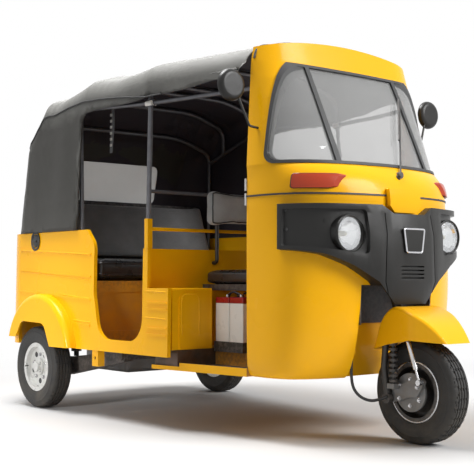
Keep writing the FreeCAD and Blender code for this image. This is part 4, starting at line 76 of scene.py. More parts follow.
def point_at(place, target):
    """The turn that looks from one point at another."""
    return (Vector(target) - Vector(place)).to_track_quat("-Z", "Y").to_euler()


def add_camera():
    data = bpy.data.cameras.new("photo_camera")
    data.lens = CAMERA_LENS
    data.clip_end = 200.0
    camera = bpy.data.objects.new("photo_camera", data)
    camera.location = CAMERA_AT
    camera.rotation_euler = point_at(CAMERA_AT, CAMERA_TARGET)
    bpy.context.scene.collection.objects.link(camera)
    bpy.context.scene.camera = camera


def add_lamps():
    for name, place, size, power in LAMPS:
        data = bpy.data.lights.new(name, "AREA")
        data.size = size
        data.energy = power
        lamp = bpy.data.objects.new(name, data)
        lamp.location = place
        lamp.rotation_euler = point_at(place, LAMP_TARGET)
        lamp.visible_transmission = False
        bpy.context.scene.collection.objects.link(lamp)
    data = bpy.data.lights.new("pool_lamp", "SPOT")
    data.energy = POOL_LAMP_POWER
    data.spot_size = POOL_LAMP_CONE
    data.spot_blend = 0.9
    data.shadow_soft_size = POOL_LAMP_SIZE
    lamp = bpy.data.objects.new("pool_lamp", data)
    lamp.location = POOL_LAMP_AT
    lamp.rotation_euler = point_at(POOL_LAMP_AT, POOL_LAMP_TARGET)
    lamp.visible_transmission = False
    bpy.context.scene.collection.objects.link(lamp)


def set_world():
    """Plain ambient light, and white wherever the camera, a mirror or glass looks past the object."""
    world = bpy.data.worlds.new("studio")
    world.use_nodes = True
    bpy.context.scene.world = world
    tree = world.node_tree
    background = tree.nodes["Background"]
    path = tree.nodes.new("ShaderNodeLightPath")
    seen = tree.nodes.new("ShaderNodeMath")
    seen.operation = "MAXIMUM"
    through = tree.nodes.new("ShaderNodeMath")
    through.operation = "MAXIMUM"
    level = tree.nodes.new("ShaderNodeMapRange")
    tree.links.new(path.outputs["Is Camera Ray"], seen.inputs[0])
    tree.links.new(path.outputs["Is Glossy Ray"], seen.inputs[1])
    tree.links.new(seen.outputs[0], through.inputs[0])
    tree.links.new(path.outputs["Is Transmission Ray"], through.inputs[1])
    tree.links.new(through.outputs[0], level.inputs["Value"])
    level.inputs["To Min"].default_value = AMBIENT_STRENGTH
    level.inputs["To Max"].default_value = 1.0
    background.inputs["Color"].default_value = (1.0, 1.0, 1.0, 1.0)
    tree.links.new(level.outputs["Result"], background.inputs["Strength"])
    bpy.context.scene.view_settings.view_transform = "Standard"


add_camera()
add_lamps()
set_world()

# Shader groups shared by the finishes


def new_group(name, inputs, outputs):
    """An empty shader node group: inputs are (name, kind, value), outputs (name, kind)."""
    group = bpy.data.node_groups.new(name, "ShaderNodeTree")
    for label, kind, value in inputs:
        socket = group.interface.new_socket(label, in_out="INPUT", socket_type="NodeSocket" + kind)
        if value is not None:
            socket.default_value = value
    for label, kind in outputs:
        group.interface.new_socket(label, in_out="OUTPUT", socket_type="NodeSocket" + kind)
    return group, group.nodes.new("NodeGroupInput"), group.nodes.new("NodeGroupOutput")


def join(tree, source, target):
    tree.links.new(source, target)


def math_node(tree, operation, first, second=None, clamp=False):
    """A Math node whose inputs are sockets or plain numbers."""
    node = tree.nodes.new("ShaderNodeMath")
    node.operation = operation
    node.use_clamp = clamp
    for place, value in enumerate((first, second)):
        if value is None:
            continue
        if isinstance(value, (int, float)):
            node.inputs[place].default_value = value
        else:
            tree.links.new(value, node.inputs[place])
    return node.outputs[0]


def noise_node(tree, vector, scale, detail=3.0, roughness=0.5):
    node = tree.nodes.new("ShaderNodeTexNoise")
    node.inputs["Detail"].default_value = detail
    node.inputs["Roughness"].default_value = roughness
    if isinstance(scale, (int, float)):
        node.inputs["Scale"].default_value = scale
    else:
        tree.links.new(scale, node.inputs["Scale"])
    tree.links.new(vector, node.inputs["Vector"])
    return node.outputs["Fac"]


def remap(tree, value, low, high, out_low=0.0, out_high=1.0):
    node = tree.nodes.new("ShaderNodeMapRange")
    tree.links.new(value, node.inputs["Value"])
    for label, number in (("From Min", low), ("From Max", high), ("To Min", out_low), ("To Max", out_high)):
        node.inputs[label].default_value = number
    return node.outputs["Result"]


def mix_colour(tree, factor, first, second):
    """A colour between two, each a socket or a plain colour."""
    node = tree.nodes.new("ShaderNodeMix")
    node.data_type = "RGBA"
    if isinstance(factor, (int, float)):
        node.inputs[0].default_value = factor
    else:
        tree.links.new(factor, node.inputs[0])
    for place, value in ((6, first), (7, second)):
        if isinstance(value, tuple):
            node.inputs[place].default_value = value
        else:
            tree.links.new(value, node.inputs[place])
    return node.outputs[2]


def make_mottle():
    """Two tones of one finish in soft uneven patches."""
    group, start, end = new_group(
        "mottle",
        [("Vector", "Vector", None), ("Scale", "Float", 6.0), ("Tone A", "Color", (1, 1, 1, 1)),
         ("Tone B", "Color", (0.8, 0.8, 0.8, 1)), ("Contrast", "Float", 1.0)],
        [("Color", "Color"), ("Mask", "Float")],
    )
    patches = noise_node(group, start.outputs["Vector"], start.outputs["Scale"], 4.0, 0.55)
    spread = remap(group, patches, 0.35, 0.65)
    mask = math_node(group, "MULTIPLY", spread, start.outputs["Contrast"], True)
    mixed = mix_colour(group, mask, start.outputs["Tone A"], start.outputs["Tone B"])
    join(group, mixed, end.inputs["Color"])
    join(group, mask, end.inputs["Mask"])
    return group


def make_grain():
    """Fine surface grain over a broader unevenness, as a height."""
    group, start, end = new_group(
        "grain",
        [("Vector", "Vector", None), ("Fine Scale", "Float", 900.0), ("Broad Scale", "Float", 40.0),
         ("Broad Share", "Float", 0.5)],
        [("Height", "Float")],
    )
    fine = noise_node(group, start.outputs["Vector"], start.outputs["Fine Scale"], 2.0)
    broad = noise_node(group, start.outputs["Vector"], start.outputs["Broad Scale"], 2.0)
    weighted = math_node(group, "MULTIPLY", broad, start.outputs["Broad Share"])
    join(group, math_node(group, "ADD", fine, weighted), end.inputs["Height"])
    return group


def make_weave():
    """Threads crossing at a pitch, read on any face of the piece."""
    group, start, end = new_group(
        "weave",
        [("Vector", "Vector", None), ("Threads", "Float", 700.0)],
        [("Height", "Float"), ("Gap", "Float")],
    )
    parts = group.nodes.new("ShaderNodeSeparateXYZ")
    join(group, start.outputs["Vector"], parts.inputs[0])
    waves = []
    for axis in range(3):
        angle = math_node(group, "MULTIPLY", parts.outputs[axis], start.outputs["Threads"])
        waves.append(math_node(group, "SINE", angle))
    pairs = [math_node(group, "MULTIPLY", waves[a], waves[b]) for a, b in ((0, 1), (1, 2), (0, 2))]
    total = math_node(group, "ADD", math_node(group, "ADD", pairs[0], pairs[1]), pairs[2])
    height = remap(group, total, -1.0, 1.0)
    join(group, height, end.inputs["Height"])
    join(group, remap(group, height, 0.25, 0.0), end.inputs["Gap"])
    return group


def make_edge_wear():
    """A mask of rubbed edges and corners, broken up by noise."""
    group, start, end = new_group(
        "edge_wear",
        [("Vector", "Vector", None), ("Amount", "Float", 0.5), ("Breakup", "Float", 60.0)],
        [("Mask", "Float")],
    )
    geometry = group.nodes.new("ShaderNodeNewGeometry")
    ridge = remap(group, geometry.outputs["Pointiness"], 0.52, 0.62)
    broken = noise_node(group, start.outputs["Vector"], start.outputs["Breakup"], 4.0, 0.6)
    patchy = remap(group, broken, 0.42, 0.60)
    mask = math_node(group, "MULTIPLY", ridge, patchy)
    join(group, math_node(group, "MULTIPLY", mask, start.outputs["Amount"], True), end.inputs["Mask"])
    return group


def make_road_dust():
    """A mask of dust that gathers low on the vehicle, in patches."""
    group, start, end = new_group(
        "road_dust",
        [("Vector", "Vector", None), ("Reach", "Float", 0.6), ("Amount", "Float", 0.4)],
        [("Mask", "Float")],
    )
    parts = group.nodes.new("ShaderNodeSeparateXYZ")
    join(group, start.outputs["Vector"], parts.inputs[0])
    ratio = math_node(group, "DIVIDE", parts.outputs["Z"], start.outputs["Reach"])
    low = math_node(group, "SUBTRACT", 1.0, ratio, True)
    patches = noise_node(group, start.outputs["Vector"], 14.0, 5.0, 0.6)
    patchy = remap(group, patches, 0.30, 0.75)
    mask = math_node(group, "MULTIPLY", low, patchy)
    join(group, math_node(group, "MULTIPLY", mask, start.outputs["Amount"], True), end.inputs["Mask"])
    return group


def make_painted_top_highlight():
    """A mask that rises between two heights, blurred by noise: a painted highlight that makes the top paler.
    """
    group, start, end = new_group(
        "height_fade",
        [("Vector", "Vector", None), ("Low", "Float", 1.40), ("High", "Float", 1.52)],
        [("Mask", "Float")],
    )
    parts = group.nodes.new("ShaderNodeSeparateXYZ")
    join(group, start.outputs["Vector"], parts.inputs[0])
    patches = noise_node(group, start.outputs["Vector"], 9.0, 3.0, 0.55)
    shift = remap(group, patches, 0.3, 0.7, -0.025, 0.025)
    height = math_node(group, "ADD", parts.outputs["Z"], shift)
    level = group.nodes.new("ShaderNodeMapRange")
    level.interpolation_type = "SMOOTHSTEP"
    join(group, height, level.inputs["Value"])
    join(group, start.outputs["Low"], level.inputs["From Min"])
    join(group, start.outputs["High"], level.inputs["From Max"])
    join(group, level.outputs["Result"], end.inputs["Mask"])
    return group


GROUPS = {
    "height_fade": make_painted_top_highlight(), "mottle": make_mottle(), "grain": make_grain(), "weave": make_weave(),
    "edge_wear": make_edge_wear(), "road_dust": make_road_dust(),
}
DUST_TONE = (0.30, 0.25, 0.19, 1.0)
COAT_ROUGHNESS = 0.08


def place_group(tree, name, vector, **values):
    """One shared group in a material, with its own values."""
    node = tree.nodes.new("ShaderNodeGroup")
    node.node_tree = GROUPS[name]
    tree.links.new(vector, node.inputs["Vector"])
    for label, value in values.items():
        node.inputs[label.replace("_", " ")].default_value = value
    return node


def rgba(tone):
    return (tone[0], tone[1], tone[2], 1.0)


def make_finish(name, tone, other_tone, roughness, metallic=0.0, coat=0.0, sheen=0.0, patches=5.0,
                contrast=0.5, fine=900.0, broad=40.0, bump=0.02, bump_depth=0.001, threads=0.0,
                wear=0.0, wear_tone=(0.5, 0.5, 0.5), dust=0.0, dust_reach=0.6, uneven=0.08, specular=0.5,
                top_highlight=None):
    """One finish: mottled colour, uneven roughness, grain or weave in its bump, worn edges and dust."""
    material = bpy.data.materials.new(name)
    material.use_nodes = True
    tree = material.node_tree
    shader = tree.nodes["Principled BSDF"]
    vector = tree.nodes.new("ShaderNodeTexCoord").outputs["Object"]
    base = place_group(tree, "mottle", vector, Scale=patches, Tone_A=rgba(tone), Tone_B=rgba(other_tone),
                       Contrast=contrast)
    colour = base.outputs["Color"]
    shine = remap(tree, base.outputs["Mask"], 0.0, 1.0, roughness - uneven, roughness + uneven)
    # Painted highlight: above the given heights the colour turns to a paler tone, standing in for the light
    # on the top.
    if top_highlight:
        top_highlight_mask = place_group(tree, "height_fade", vector, Low=top_highlight[1], High=top_highlight[2]).outputs["Mask"]
        colour = mix_colour(tree, top_highlight_mask, colour, rgba(top_highlight[0]))
    if wear:
        worn = place_group(tree, "edge_wear", vector, Amount=wear).outputs["Mask"]
        colour = mix_colour(tree, worn, colour, rgba(wear_tone))
    if dust:
        dusty = place_group(tree, "road_dust", vector, Amount=dust, Reach=dust_reach).outputs["Mask"]
        colour = mix_colour(tree, dusty, colour, DUST_TONE)
        shine = math_node(tree, "ADD", shine, math_node(tree, "MULTIPLY", dusty, 0.5), True)
    join(tree, colour, shader.inputs["Base Color"])
    join(tree, shine, shader.inputs["Roughness"])
    if threads:
        height = place_group(tree, "weave", vector, Threads=threads).outputs["Height"]
    else:
        height = place_group(tree, "grain", vector, Fine_Scale=fine, Broad_Scale=broad).outputs["Height"]
    relief = tree.nodes.new("ShaderNodeBump")
    relief.inputs["Strength"].default_value = bump
    relief.inputs["Distance"].default_value = bump_depth
    join(tree, height, relief.inputs["Height"])
    join(tree, relief.outputs["Normal"], shader.inputs["Normal"])
    shader.inputs["Metallic"].default_value = metallic
    shader.inputs["Coat Weight"].default_value = coat
    shader.inputs["Coat Roughness"].default_value = COAT_ROUGHNESS
    shader.inputs["Specular IOR Level"].default_value = specular
    shader.inputs["Sheen Weight"].default_value = sheen
    return material


def make_clear(name, tone, roughness, alpha=1.0, transmission=0.0, ior=1.45):
    """Glass, film or a lens, with a trace of streaks in its roughness."""
    material = bpy.data.materials.new(name)
    material.use_nodes = True
    tree = material.node_tree
    shader = tree.nodes["Principled BSDF"]
    vector = tree.nodes.new("ShaderNodeTexCoord").outputs["Object"]
    base = place_group(tree, "mottle", vector, Scale=9.0, Tone_A=rgba(tone),
                       Tone_B=rgba([0.94 * part for part in tone]), Contrast=0.6)
    join(tree, base.outputs["Color"], shader.inputs["Base Color"])
    streaks = remap(tree, base.outputs["Mask"], 0.0, 1.0, roughness, roughness + 0.04)
    join(tree, streaks, shader.inputs["Roughness"])
    shader.inputs["Transmission Weight"].default_value = transmission
    shader.inputs["IOR"].default_value = ior
    shader.inputs["Alpha"].default_value = alpha
    return material


FINISHES = {
    "yellow": make_finish("yellow_enamel", (0.95, 0.475, 0.003), (0.92, 0.445, 0.003), 0.30, coat=0.10,
                          specular=0.14, patches=1.6, contrast=0.6, fine=260.0, broad=9.0, bump=0.10,
                          bump_depth=0.0004, dust=0.10, dust_reach=0.55),
    # The body yellow darkened and browned for the floor, bench base and seat plinth: painted shade for these
    # low parts under the seats, with real dust and worn edges on top.
    "shaded_floor_yellow": make_finish("floor_enamel", (0.66, 0.30, 0.02), (0.50, 0.21, 0.015), 0.42, patches=7.0,
                                fine=420.0, broad=14.0, bump=0.2, dust=0.35, dust_reach=0.9, wear=0.5,
                                wear_tone=(0.16, 0.09, 0.04)),
    # A near-black brown: the real dark mat on the driver's floor, and painted shade on the cabin floor's
    # riser and sides, which stand in shadow.
    "dark_mat_and_painted_shade": make_finish("trodden_floor_paint", (0.085, 0.034, 0.011), (0.022, 0.013, 0.008), 0.50,
                           patches=9.0, contrast=1.4, fine=420.0, broad=20.0, bump=0.4, dust=0.4,
                           dust_reach=0.9),
    "mask_black": make_finish("grained_black_moulding", (0.014, 0.0135, 0.0125), (0.019, 0.018, 0.017), 0.38,
                              specular=0.30, patches=9.0, fine=2400.0, broad=120.0, bump=0.30,
                              bump_depth=0.0004),
    "black_steel": make_finish("black_chassis_paint", (0.022, 0.021, 0.021), (0.040, 0.034, 0.030), 0.48,
                               patches=18.0, fine=700.0, broad=60.0, bump=0.3, dust=0.25, dust_reach=0.5,
                               wear=0.6, wear_tone=(0.14, 0.12, 0.11)),
    "rubber": make_finish("black_seal_rubber", (0.020, 0.020, 0.021), (0.030, 0.030, 0.030), 0.55,
                          patches=20.0, fine=1500.0, bump=0.25),
    "tyre": make_finish("tyre_rubber", (0.024, 0.024, 0.024), (0.040, 0.038, 0.035), 0.62, specular=0.3,
                        patches=10.0, fine=1600.0, broad=80.0, bump=0.4, dust=0.25, dust_reach=0.30),
    "silver": make_finish("silver_rim_paint", (0.66, 0.66, 0.64), (0.56, 0.55, 0.52), 0.34, metallic=0.35,
                          coat=0.2, patches=12.0, fine=900.0, bump=0.12, wear=0.4,
                          wear_tone=(0.30, 0.27, 0.24)),
    "reflector": make_finish("lamp_reflector", (0.90, 0.90, 0.91), (0.80, 0.80, 0.82), 0.22, metallic=0.75,
                             patches=14.0, fine=90.0, bump=0.02, uneven=0.04),
    "chrome": make_finish("polished_tube", (0.62, 0.62, 0.64), (0.52, 0.52, 0.55), 0.16, metallic=1.0,
                          patches=30.0, fine=500.0, bump=0.03),
    "dull_tube": make_finish("dulled_tube", (0.13, 0.13, 0.14), (0.09, 0.09, 0.10), 0.46, metallic=0.5,
                             specular=0.3, patches=30.0, fine=500.0, bump=0.02),
    "steel": make_finish("bright_steel", (0.55, 0.55, 0.56), (0.42, 0.41, 0.40), 0.30, metallic=1.0,
                         patches=40.0, fine=1400.0, bump=0.12),
    "alloy": make_finish("cast_alloy", (0.20, 0.20, 0.20), (0.12, 0.115, 0.11), 0.50, metallic=0.6,
                         patches=14.0, fine=800.0, bump=0.5, dust=0.35, dust_reach=0.6),
    # The canvas is painted paler above 1.40 m: a painted highlight for the light on the roof.
    "canvas": make_finish("coated_canvas", (0.046, 0.044, 0.039), (0.034, 0.033, 0.029), 0.60, sheen=0.06,
                          specular=0.2, top_highlight=((0.165, 0.163, 0.152), 1.40, 1.53),
                          patches=3.0, threads=2600.0, bump=0.35, bump_depth=0.0006),
    "vinyl": make_finish("black_seat_vinyl", (0.020, 0.020, 0.022), (0.028, 0.028, 0.030), 0.34, patches=16.0,
                         fine=1300.0, broad=300.0, bump=0.35, bump_depth=0.0005),
    "cloth": make_finish("grey_seat_cloth", (0.170, 0.174, 0.180), (0.110, 0.114, 0.120), 0.80, sheen=0.4,
                         patches=11.0, threads=2100.0, bump=0.8, bump_depth=0.0008),
    "pale_cloth": make_finish("pale_pad_cloth", (0.34, 0.35, 0.35), (0.25, 0.26, 0.26), 0.82, sheen=0.4,
                              patches=14.0, threads=1900.0, bump=0.8, bump_depth=0.0008),
    "white": make_finish("white_case_plastic", (0.84, 0.82, 0.77), (0.76, 0.74, 0.69), 0.34, patches=12.0,
                         fine=700.0, bump=0.12),
    "red": make_finish("red_cap_plastic", (0.36, 0.012, 0.014), (0.27, 0.010, 0.012), 0.32, patches=16.0,
                       fine=700.0, bump=0.12),
    "amber": make_clear("amber_lens", (0.42, 0.036, 0.005), 0.24),
    "tail_red": make_clear("red_lens", (0.50, 0.010, 0.008), 0.12),
    "tail_dark": make_finish("dark_lamp_frame", (0.16, 0.030, 0.006), (0.11, 0.022, 0.006), 0.45,
                             patches=20.0, fine=800.0, bump=0.1),
    "glass": make_clear("screen_glass", (0.60, 0.60, 0.595), 0.0, transmission=0.70, ior=1.45),
    "lens": make_clear("lamp_glass", (0.97, 0.98, 0.98), 0.0, transmission=1.0, ior=1.12),
    "film": make_clear("clear_film", (0.72, 0.715, 0.69), 0.22, alpha=0.62),
    "mirror": make_finish("mirror_face", (0.80, 0.82, 0.83), (0.76, 0.78, 0.80), 0.06, metallic=1.0,
                          patches=5.0, fine=200.0, bump=0.01, uneven=0.02),
    "lining": make_finish("canopy_lining", (0.020, 0.016, 0.022), (0.030, 0.022, 0.032), 0.75, patches=4.0,
                          threads=2200.0, bump=0.5),
}

NODE_FINISH = {
    "yellow": ("cab_lower_shell", "cab_screen_surround", "nose_flap", "side_panel_right", "side_panel_left",
               "rear_panel", "rear_lid", "rear_mudguards", "partition", "sill_brackets", "front_mudguard"),
    # These floor and seat-base parts take the darkened yellow: painted shade.
    "shaded_floor_yellow": ("cabin_floor", "driver_floor", "bench_base", "seat_plinth"),
    "mask_black": ("front_mask", "front_badge", "mirrors", "headlamp_bowls"),
    "black_steel": ("steering_head", "steering_stem", "front_link", "front_spring", "rear_subframe",
                    "trailing_arms", "rear_half_shafts", "rear_springs", "rear_bumper",
                    "driver_seat_frame", "backrest_stand",
                    # Painted shade: front_rim is black where the front wheel stands in shade, and
                    # wheel_recess_liner is a black sheet standing partly for the deep shade in the wheel
                    # well.
                    "wheel_recess_liner", "handlebar", "wiper", "front_rim"),
    "rubber": ("cab_rubber", "brake_hose"),
    "tyre": ("front_tyre", "rear_tyre_right", "rear_tyre_left"),
    "silver": ("rear_rim_right", "rear_rim_left"),
    "dull_tube": ("canopy_frame",),
    "steel": ("front_damper",),
    "alloy": ("engine_block",),
    "canvas": ("canopy",),
    "vinyl": ("bench_cushion", "driver_cushion"),
    "cloth": ("bench_backrest", "driver_backrest"),
    "white": ("battery_cases",),
    "red": ("battery_lids",),
    "amber": ("front_turn_signals",),
    "tail_red": ("tail_lamps",),
    "glass": ("windscreen_glass",),
    "lens": ("headlamp_lenses",),
    "film": ("canopy_window",),
    "mirror": ("mirror_glasses",),
}


def dress(obj, finish):
    """Puts one finish on a whole object."""
    obj.data.materials.clear()
    obj.data.materials.append(FINISHES[finish])


for finish_name, node_names in NODE_FINISH.items():
    for node_name in node_names:
        dress(NODES[node_name], finish_name)


def dress_faces(node, finish, test):
    """Puts a second finish on the faces of a node whose centre and normal pass a test."""
    mesh = NODES[node].data
    mesh.materials.append(FINISHES[finish])
    place = len(mesh.materials) - 1
    for face in mesh.polygons:
        if test(face.center, face.normal):
            face.material_index = place


FRONT_HUB = (1.1125, 0.0, 0.205)
DRUM_REACH = 0.085
SOCKET_TOP = 0.93
CLAMP_HEIGHTS = (1.422, 1.442)
dress_faces("canopy_frame", "yellow", lambda at, out: at.z < SOCKET_TOP and at.x > -0.02)
dress_faces("canopy_frame", "white",
            lambda at, out: CLAMP_HEIGHTS[0] < at.z < CLAMP_HEIGHTS[1] and 0.0 < at.x < 0.10)
dress_faces("driver_floor", "dark_mat_and_painted_shade", lambda at, out: out.z > 0.5)
dress_faces("driver_floor", "yellow", lambda at, out: abs(out.y) > 0.5)
# The cabin floor's riser and side faces take the dark tone: painted shade under the box.
dress_faces("cabin_floor", "dark_mat_and_painted_shade", lambda at, out: out.x > 0.5 or abs(out.y) > 0.5)
dress_faces("front_link", "alloy",
            lambda at, out: math.hypot(at.x - FRONT_HUB[0], at.z - FRONT_HUB[2]) < DRUM_REACH)

# Tools of the bench: selecting, finishing and placing pieces

SPIN_MERGE = 0.00005
NODE_MERGE = 0.00002


def only(obj):
    """Selects one object and nothing else."""
    if bpy.context.object and bpy.context.object.mode != "OBJECT":
        bpy.ops.object.mode_set(mode="OBJECT")
    bpy.ops.object.select_all(action="DESELECT")
    obj.select_set(True)
    bpy.context.view_layer.objects.active = obj
    return obj


def settle(obj):
    """Puts an object's place, turn and size into its mesh."""
    only(obj)
    bpy.ops.object.transform_apply(location=True, rotation=True, scale=True)
    return obj


def pick_faces(obj, test):
    """Selects the faces whose centre and normal pass a test, and leaves the object in edit mode."""
    only(obj)
    bpy.ops.object.mode_set(mode="EDIT")
    bpy.ops.mesh.select_mode(type="FACE")
    bpy.ops.mesh.select_all(action="DESELECT")
    bpy.ops.object.mode_set(mode="OBJECT")
    for face in obj.data.polygons:
        face.select = bool(test(face.center, face.normal))
    bpy.ops.object.mode_set(mode="EDIT")


def leave_edit():
    bpy.ops.object.mode_set(mode="OBJECT")


def face_outwards(obj, inside=False):
    """Turns every face outwards, or inwards, and leaves edit mode."""
    bpy.ops.object.mode_set(mode="EDIT")
    bpy.ops.mesh.select_all(action="SELECT")
    bpy.ops.mesh.normals_make_consistent(inside=inside)
    leave_edit()
    return obj


def finish_with(obj, kind, **values):
    """Adds one modifier, sets it and applies it."""
    only(obj)
    modifier = obj.modifiers.new(kind.lower(), kind)
    for label, value in values.items():
        setattr(modifier, label, value)
    bpy.ops.object.modifier_apply(modifier=modifier.name)
    return obj


def round_edges(obj, width, segments=2, angle=30.0):
    return finish_with(obj, "BEVEL", width=width, segments=segments, limit_method="ANGLE",
                       angle_limit=math.radians(angle))


def smooth(obj, angle=35.0):
    only(obj)
    bpy.ops.object.shade_smooth_by_angle(angle=math.radians(angle))
    return obj


def new_block(name, low, high):
    """A block between two corners."""
    low, high = Vector(low), Vector(high)
    bpy.ops.object.select_all(action="DESELECT")
    bpy.ops.mesh.primitive_cube_add(size=1.0, location=(low + high) / 2)
    obj = bpy.context.object
    obj.name = name
    obj.scale = high - low
    return settle(obj)


def new_rod(name, start, end, radius, sides=24, end_radius=None):
    """A round rod or cone from one point to another."""
    start, end = Vector(start), Vector(end)
    along = end - start
    bpy.ops.object.select_all(action="DESELECT")
    end_radius = radius if end_radius is None else end_radius
    bpy.ops.mesh.primitive_cone_add(vertices=sides, radius1=radius, radius2=end_radius,
                                    depth=along.length, location=(start + end) / 2,
                                    rotation=along.to_track_quat("Z", "Y").to_euler())
    obj = bpy.context.object
    obj.name = name
    return settle(obj)


def new_line(name, points, radius=0.0, kind="POLY", closed=False, order=3, sides=3):
    """A curve through or by its points, with a round bevel if it has a radius."""
    data = bpy.data.curves.new(name, "CURVE")
    data.dimensions = "3D"
    data.bevel_depth = radius
    data.bevel_resolution = sides
    data.use_fill_caps = True
    spline = data.splines.new(kind)
    spline.points.add(len(points) - 1)
    for place, point in enumerate(points):
        spline.points[place].co = (*point, 1.0)
    if kind == "NURBS":
        spline.order_u = order
        spline.use_endpoint_u = not closed
        spline.resolution_u = 10
    spline.use_cyclic_u = closed
    obj = bpy.data.objects.new(name, data)
    bpy.context.scene.collection.objects.link(obj)
    return obj


def as_mesh(obj):
    only(obj)
    bpy.ops.object.convert(target="MESH")
    return bpy.context.object


def new_cord(name, points, radius, kind="NURBS", closed=False, sides=3):
    """A piping, wire or tube as a mesh."""
    obj = as_mesh(new_line(name, points, radius, kind, closed, sides=sides))
    return smooth(obj, 60.0)


def turned(name, points, centre, axis, steps):
    """A line of points turned once round an axis, with its ends merged, still in edit mode."""
    obj = as_mesh(new_line(name, points))
    bpy.ops.object.mode_set(mode="EDIT")
    bpy.ops.mesh.select_all(action="SELECT")
    bpy.ops.mesh.spin(steps=steps, angle=2 * math.pi, center=centre, axis=axis)
    bpy.ops.mesh.select_all(action="SELECT")
    bpy.ops.mesh.remove_doubles(threshold=SPIN_MERGE)
    return obj


def spun(name, profile, centre, steps=96):
    """A profile of (radius, offset along Y) spun into a closed ring about an axis along Y."""
    points = [(centre[0] + radius, centre[1] + offset, centre[2]) for radius, offset in profile]
    obj = turned(name, points, centre, (0.0, 1.0, 0.0), steps)
    bpy.ops.mesh.normals_make_consistent(inside=False)
    leave_edit()
    return obj


def joined(name, parts):
    """Several meshes as one named piece."""
    only(parts[0])
    for part in parts[1:]:
        part.select_set(True)
    if len(parts) > 1:
        bpy.ops.object.join()
    obj = bpy.context.object
    obj.name = name
    return obj


def copied(obj, name, shift=(0.0, 0.0, 0.0), mirror_y=False):
    """A copy with its own mesh, moved or mirrored to the other side."""
    only(obj)
    bpy.ops.object.duplicate(linked=False)
    made = bpy.context.object
    made.name = name
    made.location = Vector(made.location) + Vector(shift)
    if mirror_y:
        made.scale = (1.0, -1.0, 1.0)
    settle(made)
    if mirror_y:
        face_outwards(made)
    return made


def mount(obj, finish, body="body"):
    """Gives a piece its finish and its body."""
    dress(obj, finish)
    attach(obj, body)
    return obj


def tree_of(obj):
    """A search tree of a mesh's surface."""
    mesh = obj.data
    return BVHTree.FromPolygons([vertex.co.copy() for vertex in mesh.vertices],
                                [tuple(face.vertices) for face in mesh.polygons])


def copy_of_node(node, name):
    """A merged copy of a CAD node's mesh as a new piece."""
    obj = NODES[node].copy()
    obj.data = NODES[node].data.copy()
    obj.name = name
    for key in list(obj.keys()):
        if key.startswith("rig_"):
            del obj[key]
    obj.parent = None
    obj.matrix_world = Matrix.Identity(4)
    obj.hide_render = False
    bpy.context.scene.collection.objects.link(obj)
    only(obj)
    bpy.ops.object.mode_set(mode="EDIT")
    bpy.ops.mesh.select_all(action="SELECT")
    bpy.ops.mesh.remove_doubles(threshold=NODE_MERGE)
    leave_edit()
    return obj


# Brake hose: the route of the frame's own hose, up to the face of the fork

HOSE_POINTS = (
    (0.9245, -0.2010, 0.3500), (0.9214, -0.2038, 0.2901), (0.9248, -0.2007, 0.2243),
    (0.9413, -0.1856, 0.1887), (0.9669, -0.1620, 0.1687), (0.9965, -0.1348, 0.1673),
    (1.0265, -0.1073, 0.1855),
)
HOSE_DIAMETER = 0.012


def add_brake_hose():
    """The free hose between the cab's gland and the eye of the fork."""
    plain = new_line("hose_route", HOSE_POINTS, 0.0, "NURBS")
    evaluated = plain.evaluated_get(bpy.context.evaluated_depsgraph_get())
    route = bpy.data.meshes.new_from_object(evaluated)
    bpy.data.objects.remove(plain)
    bpy.data.meshes.remove(route)
    hose = new_cord("front_brake_hose", HOSE_POINTS, HOSE_DIAMETER / 2, sides=5)
    dress(hose, "rubber")
    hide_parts("brake_hose")
    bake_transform(hose)


add_brake_hose()

# Canopy

CANOPY_EDGE_LENGTH = 0.034
FOLD_DEPTH = 0.0035
CREASE_DEPTH = 0.0025
CANOPY_CENTRE_Z = 1.15
CANOPY_REAR_X = -1.10
RELAX_X = -0.90
RELAX_Z = 1.31
RELAX_BLEND = 0.06
RELAX_ROUNDS = 60


def outward_of(point):
    """The direction away from the cabin at one place of the canopy."""
    across = Vector((min(0.0, point.x - CANOPY_REAR_X) * 3.0, point.y / 0.62, 0.0))
    up = max(0.0, point.z - CANOPY_CENTRE_Z - 0.20) / 0.22
    across.z = up * up
    return across.normalized() if across.length > 0.001 else Vector((0.0, 0.0, 1.0))


def fold_at(point):
    """How far the cloth stands off its bows: upright folds on the walls, shallow creases on top."""
    upright = noise.noise(Vector((point.x * 9.0, point.y * 4.0, point.z * 1.4)))
    crease = noise.noise(Vector((point.x * 3.0 + 4.0, point.y * 6.0, point.z * 14.0)))
    soft = noise.noise(Vector((point.x * 2.2, point.y * 2.2, point.z * 2.2 + 7.0)))
    return FOLD_DEPTH * upright + CREASE_DEPTH * crease + FOLD_DEPTH * soft


def split_long_edges(obj, longest, rounds=7):
    """Subdivides every edge over a length, so that a flat panel can fold."""
    for _ in range(rounds):
        only(obj)
        bpy.ops.object.mode_set(mode="EDIT")
        bpy.ops.mesh.select_mode(type="EDGE")
        bpy.ops.mesh.select_all(action="DESELECT")
        leave_edit()
        found = False
        points = obj.data.vertices
        for edge in obj.data.edges:
            a, b = edge.vertices
            if (points[a].co - points[b].co).length > longest:
                edge.select = True
                found = True
        if not found:
            return
        bpy.ops.object.mode_set(mode="EDIT")
        bpy.ops.mesh.subdivide(number_cuts=1)
        leave_edit()


def relax_rear_corners(sheet):
    """Evens out the cloth over the rear shoulders, away from every hem."""
    shoulder = sheet.vertex_groups.new(name="shoulder")
    for vertex in sheet.data.vertices:
        back = (RELAX_X - vertex.co.x) / RELAX_BLEND
        up = (vertex.co.z - RELAX_Z) / RELAX_BLEND
        weight = max(0.0, min(1.0, back, up))
        if weight:
            shoulder.add([vertex.index], weight, "REPLACE")
    finish_with(sheet, "SMOOTH", factor=0.5, iterations=RELAX_ROUNDS, vertex_group="shoulder")


